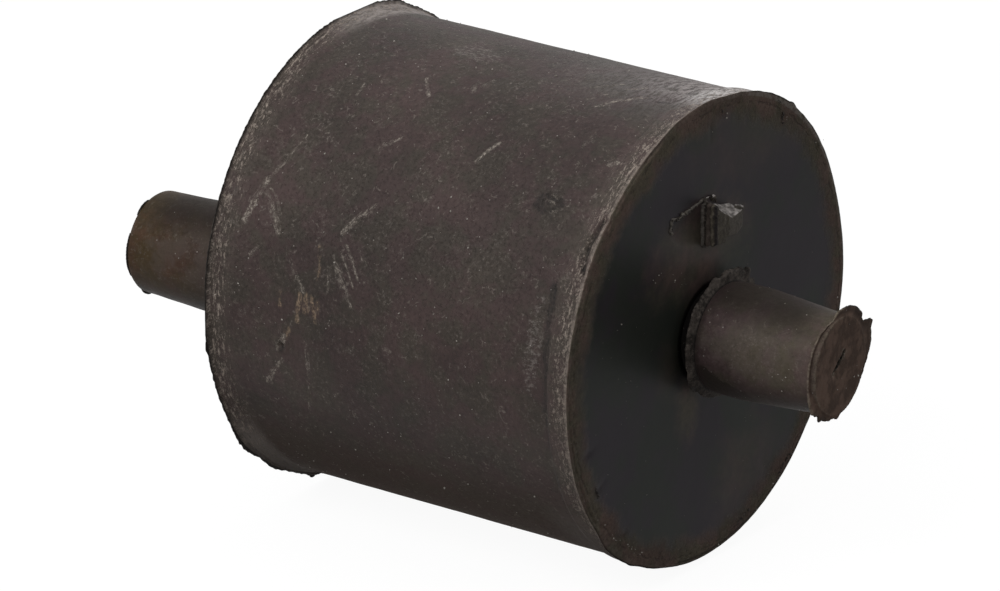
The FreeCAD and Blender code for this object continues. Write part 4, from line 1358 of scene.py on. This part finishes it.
def pin_material(name, groups, root, tip, end, side, forward, cloudy):
    """A pin's rubber: one tone at its root, one at its tip, one on its end, and dusty, with
    painted shade and painted highlight.
    """
    coat = Finish(name, groups, 0.6, 0.1, Axis_Side=side, Radius=PIN_RADIUS)
    outwards = coat.minus(coat.times(coat.place["Along"], forward), HALF_LENGTH)
    near, far = (coat.blotches((red * 1.1, green * 0.97, blue * 1.08),
                               (red * 0.96, green, blue * 0.9), cloudy)
                 for red, green, blue in (root, tip))
    coat.colour = coat.mixed(coat.ramp(outwards, 3.0, 19.0), near, far)
    grain, grit = coat.grain_and_grit(0.08, 0.15)
    clouds = coat.patchy(0.22, 4.0, 0.7, 0.4, 0.6)
    coat.paint((0.105, 0.084, 0.075), coat.angle(110.0, 150.0), coat.angle(208.0, 182.0),
               clouds, 0.4)
    coat.paint((0.018, 0.014, 0.011), grit["Dark"], 0.25)
    coat.paint((0.16, 0.135, 0.115), grit["Pale"], 0.5)
    coat.paint((0.18, 0.155, 0.13), grit["Scratches"], 0.4)

    # Painted shade: darker on top, underneath, by the collar and in a slanting stretch below
    slope = coat.facing("Z")
    above = coat.times(coat.ramp(slope, 0.5, 0.98, 0.0, 0.8),
                       coat.ramp(outwards, 22.0, 16.0, 0.35, 1.0))
    low_end = coat.times(coat.ramp(slope, -0.3, -0.75, 0.0, 0.8),
                         coat.ramp(outwards, 11.0, 15.0))
    slant = coat.minus(outwards, coat.times(coat.minus(coat.place["Angle"], 192.0), 0.22))
    lower = coat.times(coat.ramp(coat.plus(slant, clouds), 5.6, 4.8, 0.0, 0.8),
                       coat.angle(186.0, 194.0), coat.angle(300.0, 270.0))
    coat.paint(PAINTED_SHADE, coat.most(
        coat.ramp(slope, -0.05, -0.75, 0.0, 0.6), above, coat.ramp(outwards, 4.4, 3.3, 0.0, 0.5),
        coat.ramp(slope, -0.7, -0.95, 0.0, 0.9), low_end, lower))

    # The end, then the fin round it, with painted highlight and painted shade on the fin
    facing = coat.ramp(coat.times(coat.facing("X"), forward), 0.7, 0.95)
    at_end = coat.times(facing, coat.ramp(outwards, 18.0, 20.0))
    stained = coat.scaled(end, coat.patchy(0.4, 3.0, 0.6, 0.38, 0.62, 0.65, 1.4))
    stained = coat.mixed(coat.times(grit["Pale"], 0.3), stained, (0.13, 0.105, 0.085, 1))
    coat.paint(stained, at_end, 0.94)
    fin, away = coat.stored("fin"), coat.place["From Axis"]
    crest = coat.most(coat.times(coat.ramp(away, 6.7, 6.9), coat.ramp(away, 7.25, 7.1)),
                      coat.ramp(fin, 0.6, 0.8))
    # Painted highlight: the fin's crests are paler only where they face the light
    lit = coat.times(coat.angle(235.0, 205.0, 0.15, 1.0), coat.angle(70.0, 95.0, 0.1, 1.0))
    coat.paint((0.22, 0.18, 0.138), crest, coat.ramp(outwards, 20.6, 21.1),
               coat.patchy(1.3, 4.0, 0.85, 0.42, 0.57), lit, 0.6)
    coat.paint(DUST_TONE, grain["Specks"], 0.8)
    # Painted shade: the fin darker away from the light, and black at its edge there
    unlit = coat.times(coat.ramp(fin, 0.02, 0.5), coat.minus(1.0, coat.times(lit, 0.85)))
    dark = coat.most(coat.times(unlit, 0.5),
                     coat.times(coat.ramp(fin, 0.8, 0.97), coat.minus(1.0, lit)))
    coat.paint((0.012, 0.0095, 0.008), dark)
    # Painted shade: the neck under the collar black
    neck = coat.ramp(outwards, 3.0, 2.7)
    coat.paint((0.002, 0.0015, 0.0015), neck, 0.96)
    coat.paint((0.26, 0.23, 0.19), coat.stored("torn"), coat.patchy(1.7, 3.0, 0.85, 0.5, 0.6),
               0.8)
    # Painted shade: black inside the gate's slit
    coat.paint((0.002, 0.0015, 0.001), coat.stored("slit"))
    dull = coat.plus(coat.times(grain["Height"], 0.3), 0.42,
                     coat.times(coat.most(neck, dark, at_end), 0.25))
    return coat.done(grain["Height"], 0.5, 0.0001, dull)


def torn_material(name, groups, low, high, roughness=0.8, depth=0.0002, shade_radius=0.0):
    """Torn or flashed rubber: rough all over, pale on its crumbs, and on the collar painted shade
    in a ring where it meets the pin.
    """
    coat = Finish(name, groups, roughness, 0.15)
    grain, grit = coat.grain_and_grit(0.05, 0.3)
    coat.colour = coat.mixed(coat.patchy(0.8, 5.0, 0.75, 0.38, 0.64), (*low, 1), (*high, 1))
    coat.paint([value * 2.4 for value in high], grit["Pale"], 0.6)
    if shade_radius:
        # Painted shade in a ring where the collar meets the pin
        sunk = coat.ramp(coat.place["From Axis"], shade_radius + 0.5, shade_radius + 0.1)
        coat.paint((0.005, 0.004, 0.0035), sunk, 0.9)
    coat.paint(DUST_TONE, grain["Specks"], 0.6)
    return coat.done(grain["Height"], 0.8, depth)


def lug_material(groups):
    """The lug: folds on its side in painted light and shade, brown in front, pale and rough where
    its top is torn.
    """
    coat = Finish("lug_rubber", groups, 0.75, 0.2)
    parts = coat.parts(coat.position)
    along, across = parts["X"], parts["Y"]
    grain, grit = coat.grain_and_grit(0.06, 0.4)
    shade = coat.patchy(1.2, 4.0, 0.65, 0.36, 0.66)
    wander = coat.lumps(coat.position, 0.7, 3.0, 0.6, (0.2, 1.0, 1.0))
    wander = coat.times(coat.minus(wander, 0.5), 1.2)
    coat.colour = coat.mixed(shade, (0.026, 0.021, 0.015, 1), (0.070, 0.060, 0.045, 1))
    coat.paint((0.105, 0.094, 0.083), coat.ramp(coat.plus(across, wander), 1.0, 1.3), 0.6)
    forwards = coat.plus(along, coat.times(wander, 0.4))
    beside = coat.ramp(across, -1.55, -1.85)
    # Painted light and shade across the folds
    for station, wide, tone in FOLD_LIGHT_AND_SHADE:
        coat.paint(tone, coat.ramp(coat.apart(forwards, station), wide, wide * 0.5), beside)
    coat.paint((0.16, 0.138, 0.118), grit["Pale"], 0.5)
    coat.paint((0.012, 0.01, 0.008), grit["Dark"], 0.4)
    coat.paint((0.2, 0.18, 0.155), coat.ramp(across, -2.4, -3.0),
               coat.patchy(1.8, 3.0, 0.85, 0.5, 0.6), 0.6)
    pale = coat.mixed(shade, (0.10, 0.09, 0.085, 1), (0.42, 0.39, 0.37, 1))
    coat.paint(pale, coat.ramp(coat.facing("Z"), 0.4, 0.65), coat.ramp(across, -1.7, -1.0))
    return coat.done(grain["Height"], 0.9, 0.0002)


def make_materials():
    """All finishes of the mount, from the shared groups."""
    groups = {"place": position_group(), "mottle": mottle_group(), "grain": grain_group(),
              "grit": grit_group(), "rim": rim_wear_group(), "stroke": stroke_group(),
              "rubbed": rubbed_group()}
    return {
        "side": side_material(groups),
        "face": face_material(groups),
        "front_pin": pin_material("front_pin_rubber", groups, (0.064, 0.049, 0.044),
                                  (0.070, 0.056, 0.045), (0.108, 0.072, 0.056), 0.0, 1.0, 0.4),
        "rear_pin": pin_material("rear_pin_rubber", groups, (0.047, 0.032, 0.027),
                                 (0.066, 0.042, 0.022), (0.04, 0.028, 0.018), REAR_PIN_SIDE,
                                 -1.0, 0.34),
        "lug": lug_material(groups),
        "collar": torn_material("collar_rubber", groups, (0.012, 0.0095, 0.008),
                                (0.075, 0.063, 0.055), shade_radius=7.8),
        "crumbs": torn_material("torn_crumbs", groups, (0.012, 0.0095, 0.008),
                                (0.062, 0.052, 0.045)),
        "flash": torn_material("flash_rubber", groups, (0.014, 0.012, 0.011),
                               (0.055, 0.047, 0.041), 0.7, 0.0001),
        "dust": torn_material("pale_dust", groups, (0.25, 0.23, 0.2), (0.5, 0.47, 0.43)),
    }


# The studio

CAMERA_TURN, CAMERA_RISE = 36.27, 21.02
# The camera's place in millimetres: to its right, upwards and backwards
CAMERA_PLACE = (-4.09, -1.582, 1144.7)
FLOOR_GAP = 0.0002
FLOOR_REACH = 8
WHITE = (1, 1, 1, 1)


def aimed(seat, place, back):
    """Set a camera or lamp down, looking away from the direction behind it."""
    seat.location = place
    seat.rotation_mode = "QUATERNION"
    seat.rotation_quaternion = back.to_track_quat("Z", "Y")


def make_camera():
    """The camera at the photograph's angle, fitted to the block's outlines."""
    turned, raised = math.radians(CAMERA_TURN), math.radians(CAMERA_RISE)
    right = Vector((math.cos(turned), math.sin(turned), 0.0))
    back = Vector((math.sin(turned) * math.cos(raised), -math.cos(turned) * math.cos(raised),
                   math.sin(raised)))
    up = back.cross(right)
    camera = bpy.data.cameras.new("camera")
    camera.lens = 288.0
    camera.sensor_width = 36.0
    camera.clip_end = 20.0
    seat = placed("camera", camera)
    aside, above, away = CAMERA_PLACE
    aimed(seat, (right * aside + up * above + back * away) * METRES, back)
    bpy.context.scene.camera = seat


def seen_straight(nodes):
    """1 for what the camera, a reflection or a clear material sees, 0 for light on the part."""
    path = nodes.node("ShaderNodeLightPath")
    return nodes.most(path["Is Camera Ray"], path["Is Glossy Ray"], path["Is Transmission Ray"])


def make_world():
    """A white background over a soft even light that is stronger from above."""
    world = bpy.data.worlds.new("studio")
    bpy.context.scene.world = world
    nodes = Nodes(emptied(world))
    height = nodes.parts(nodes.node("ShaderNodeTexCoord")["Generated"])["Z"]
    soft, white = (nodes.node("ShaderNodeBackground", {"Color": WHITE, "Strength": strength})[0]
                   for strength in (nodes.ramp(height, 0.0, 1.0, 0.25, 0.6), 1.0))
    both = nodes.node("ShaderNodeMixShader", {0: seen_straight(nodes), 1: soft, 2: white})[0]
    nodes.node("ShaderNodeOutputWorld", {"Surface": both})


def make_floor():
    """A pale floor that keeps the part's shadow and shows white elsewhere."""
    material = bpy.data.materials.new("pale_floor")
    nodes = Nodes(emptied(material))
    paper = nodes.node("ShaderNodeBsdfDiffuse", {"Color": (0.1, 0.1, 0.1, 1)})[0]
    glow = nodes.node("ShaderNodeEmission", {
        "Color": WHITE, "Strength": nodes.times(seen_straight(nodes), 0.94)})[0]
    both = nodes.node("ShaderNodeAddShader", {0: paper, 1: glow})[0]
    nodes.node("ShaderNodeOutputMaterial", {"Surface": both})
    mesh = bpy.data.meshes.new("floor")
    level = CAD_BOX[0].z - FLOOR_GAP
    corners = ((-1, -1), (1, -1), (1, 1), (-1, 1))
    mesh.from_pydata([(x * FLOOR_REACH, y * FLOOR_REACH, level) for x, y in corners], [],
                     [(0, 1, 2, 3)])
    mesh.materials.append(material)
    placed("floor", mesh)


def make_lamp(name, place, size, power):
    """A soft round lamp that looks at the mount."""
    lamp = bpy.data.lights.new(name, "AREA")
    lamp.shape = "DISK"
    lamp.size = size
    lamp.energy = power
    aimed(placed(name, lamp), place, Vector(place))


def make_studio():
    """Camera, light and background."""
    bpy.context.scene.view_settings.view_transform = "Standard"
    make_camera()
    make_world()
    make_floor()
    make_lamp("lamp_left", (-0.1, -0.72, 0.66), 0.6, 4.2)
    make_lamp("lamp_behind", (0.1, 0.5, 0.8), 0.5, 1.2)


# The whole mount


def on_face(forwards, *places):
    """Points on the front face, a little forwards of it."""
    return [(HALF_LENGTH + forwards, side, up) for side, up in places]


def make_dust(trees, finish, block, front_pin):
    """Dust grains on the block and the front pin, and crumbs along the torn edges."""
    pieces = [
        grown("dust_on_block", block.data.copy(), trees["grain"], Per_Square_Metre=62000.0,
              Smallest=0.00003, Largest=0.00021, Share_On_Front=0.14, Seed=11,
              Material=finish["dust"]),
        grown("dust_on_pin", front_pin.data.copy(), trees["grain"], Per_Square_Metre=80000.0,
              Smallest=0.00004, Largest=0.00016, Share_On_Front=0.8, Seed=5,
              Material=finish["dust"])]
    for name, paths, spacing, spread, smallest, largest, seed, look in (
            ("crumbs_on_lip", [on_face(0.25, *LIP_PATH)],
             0.0004, 0.0005, 0.0001, 0.00035, 3, "crumbs"),
            ("crumbs_at_foot", [on_face(0.2, *FOOT_PATH)],
             0.0005, 0.0006, 0.0001, 0.0003, 8, "lug"),
            ("dark_chips", [on_face(0.0, *ends) for ends in DARK_CHIPS],
             0.00022, 0.0003, 0.00012, 0.00032, 2, "flash"),
            ("pale_chips", [on_face(0.05, *ends) for ends in PALE_CHIPS],
             0.0005, 0.0007, 0.00006, 0.00022, 4, "dust"),
            ("dust_patch", [on_face(0.0, *DUST_PATCH)],
             0.00035, 0.0032, 0.00004, 0.00018, 6, "dust")):
        pieces.append(grown(name, path_mesh(*paths), trees["crumb"], Spacing=spacing,
                            Spread=spread, Smallest=smallest, Largest=largest, Seed=seed,
                            Material=finish[look]))
    return pieces


def main():
    """Build the mount's pieces, dress them and set up the studio."""
    finish = make_materials()
    trees = {"flash": flash_tree(), "grain": grain_tree(), "crumb": crumb_tree()}
    block = make_block(finish["side"], finish["face"])
    front_pin = make_front_pin(finish["front_pin"])
    pieces = [block, front_pin, make_rear_pin(finish["rear_pin"]),
              make_collar(finish["collar"]), make_lug(finish["lug"])]
    pieces += make_flash(trees["flash"], finish["flash"])
    pieces += make_dust(trees, finish, block, front_pin)
    for piece in pieces:
        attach(piece, "root")
        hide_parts(NODE)
    make_studio()


main()
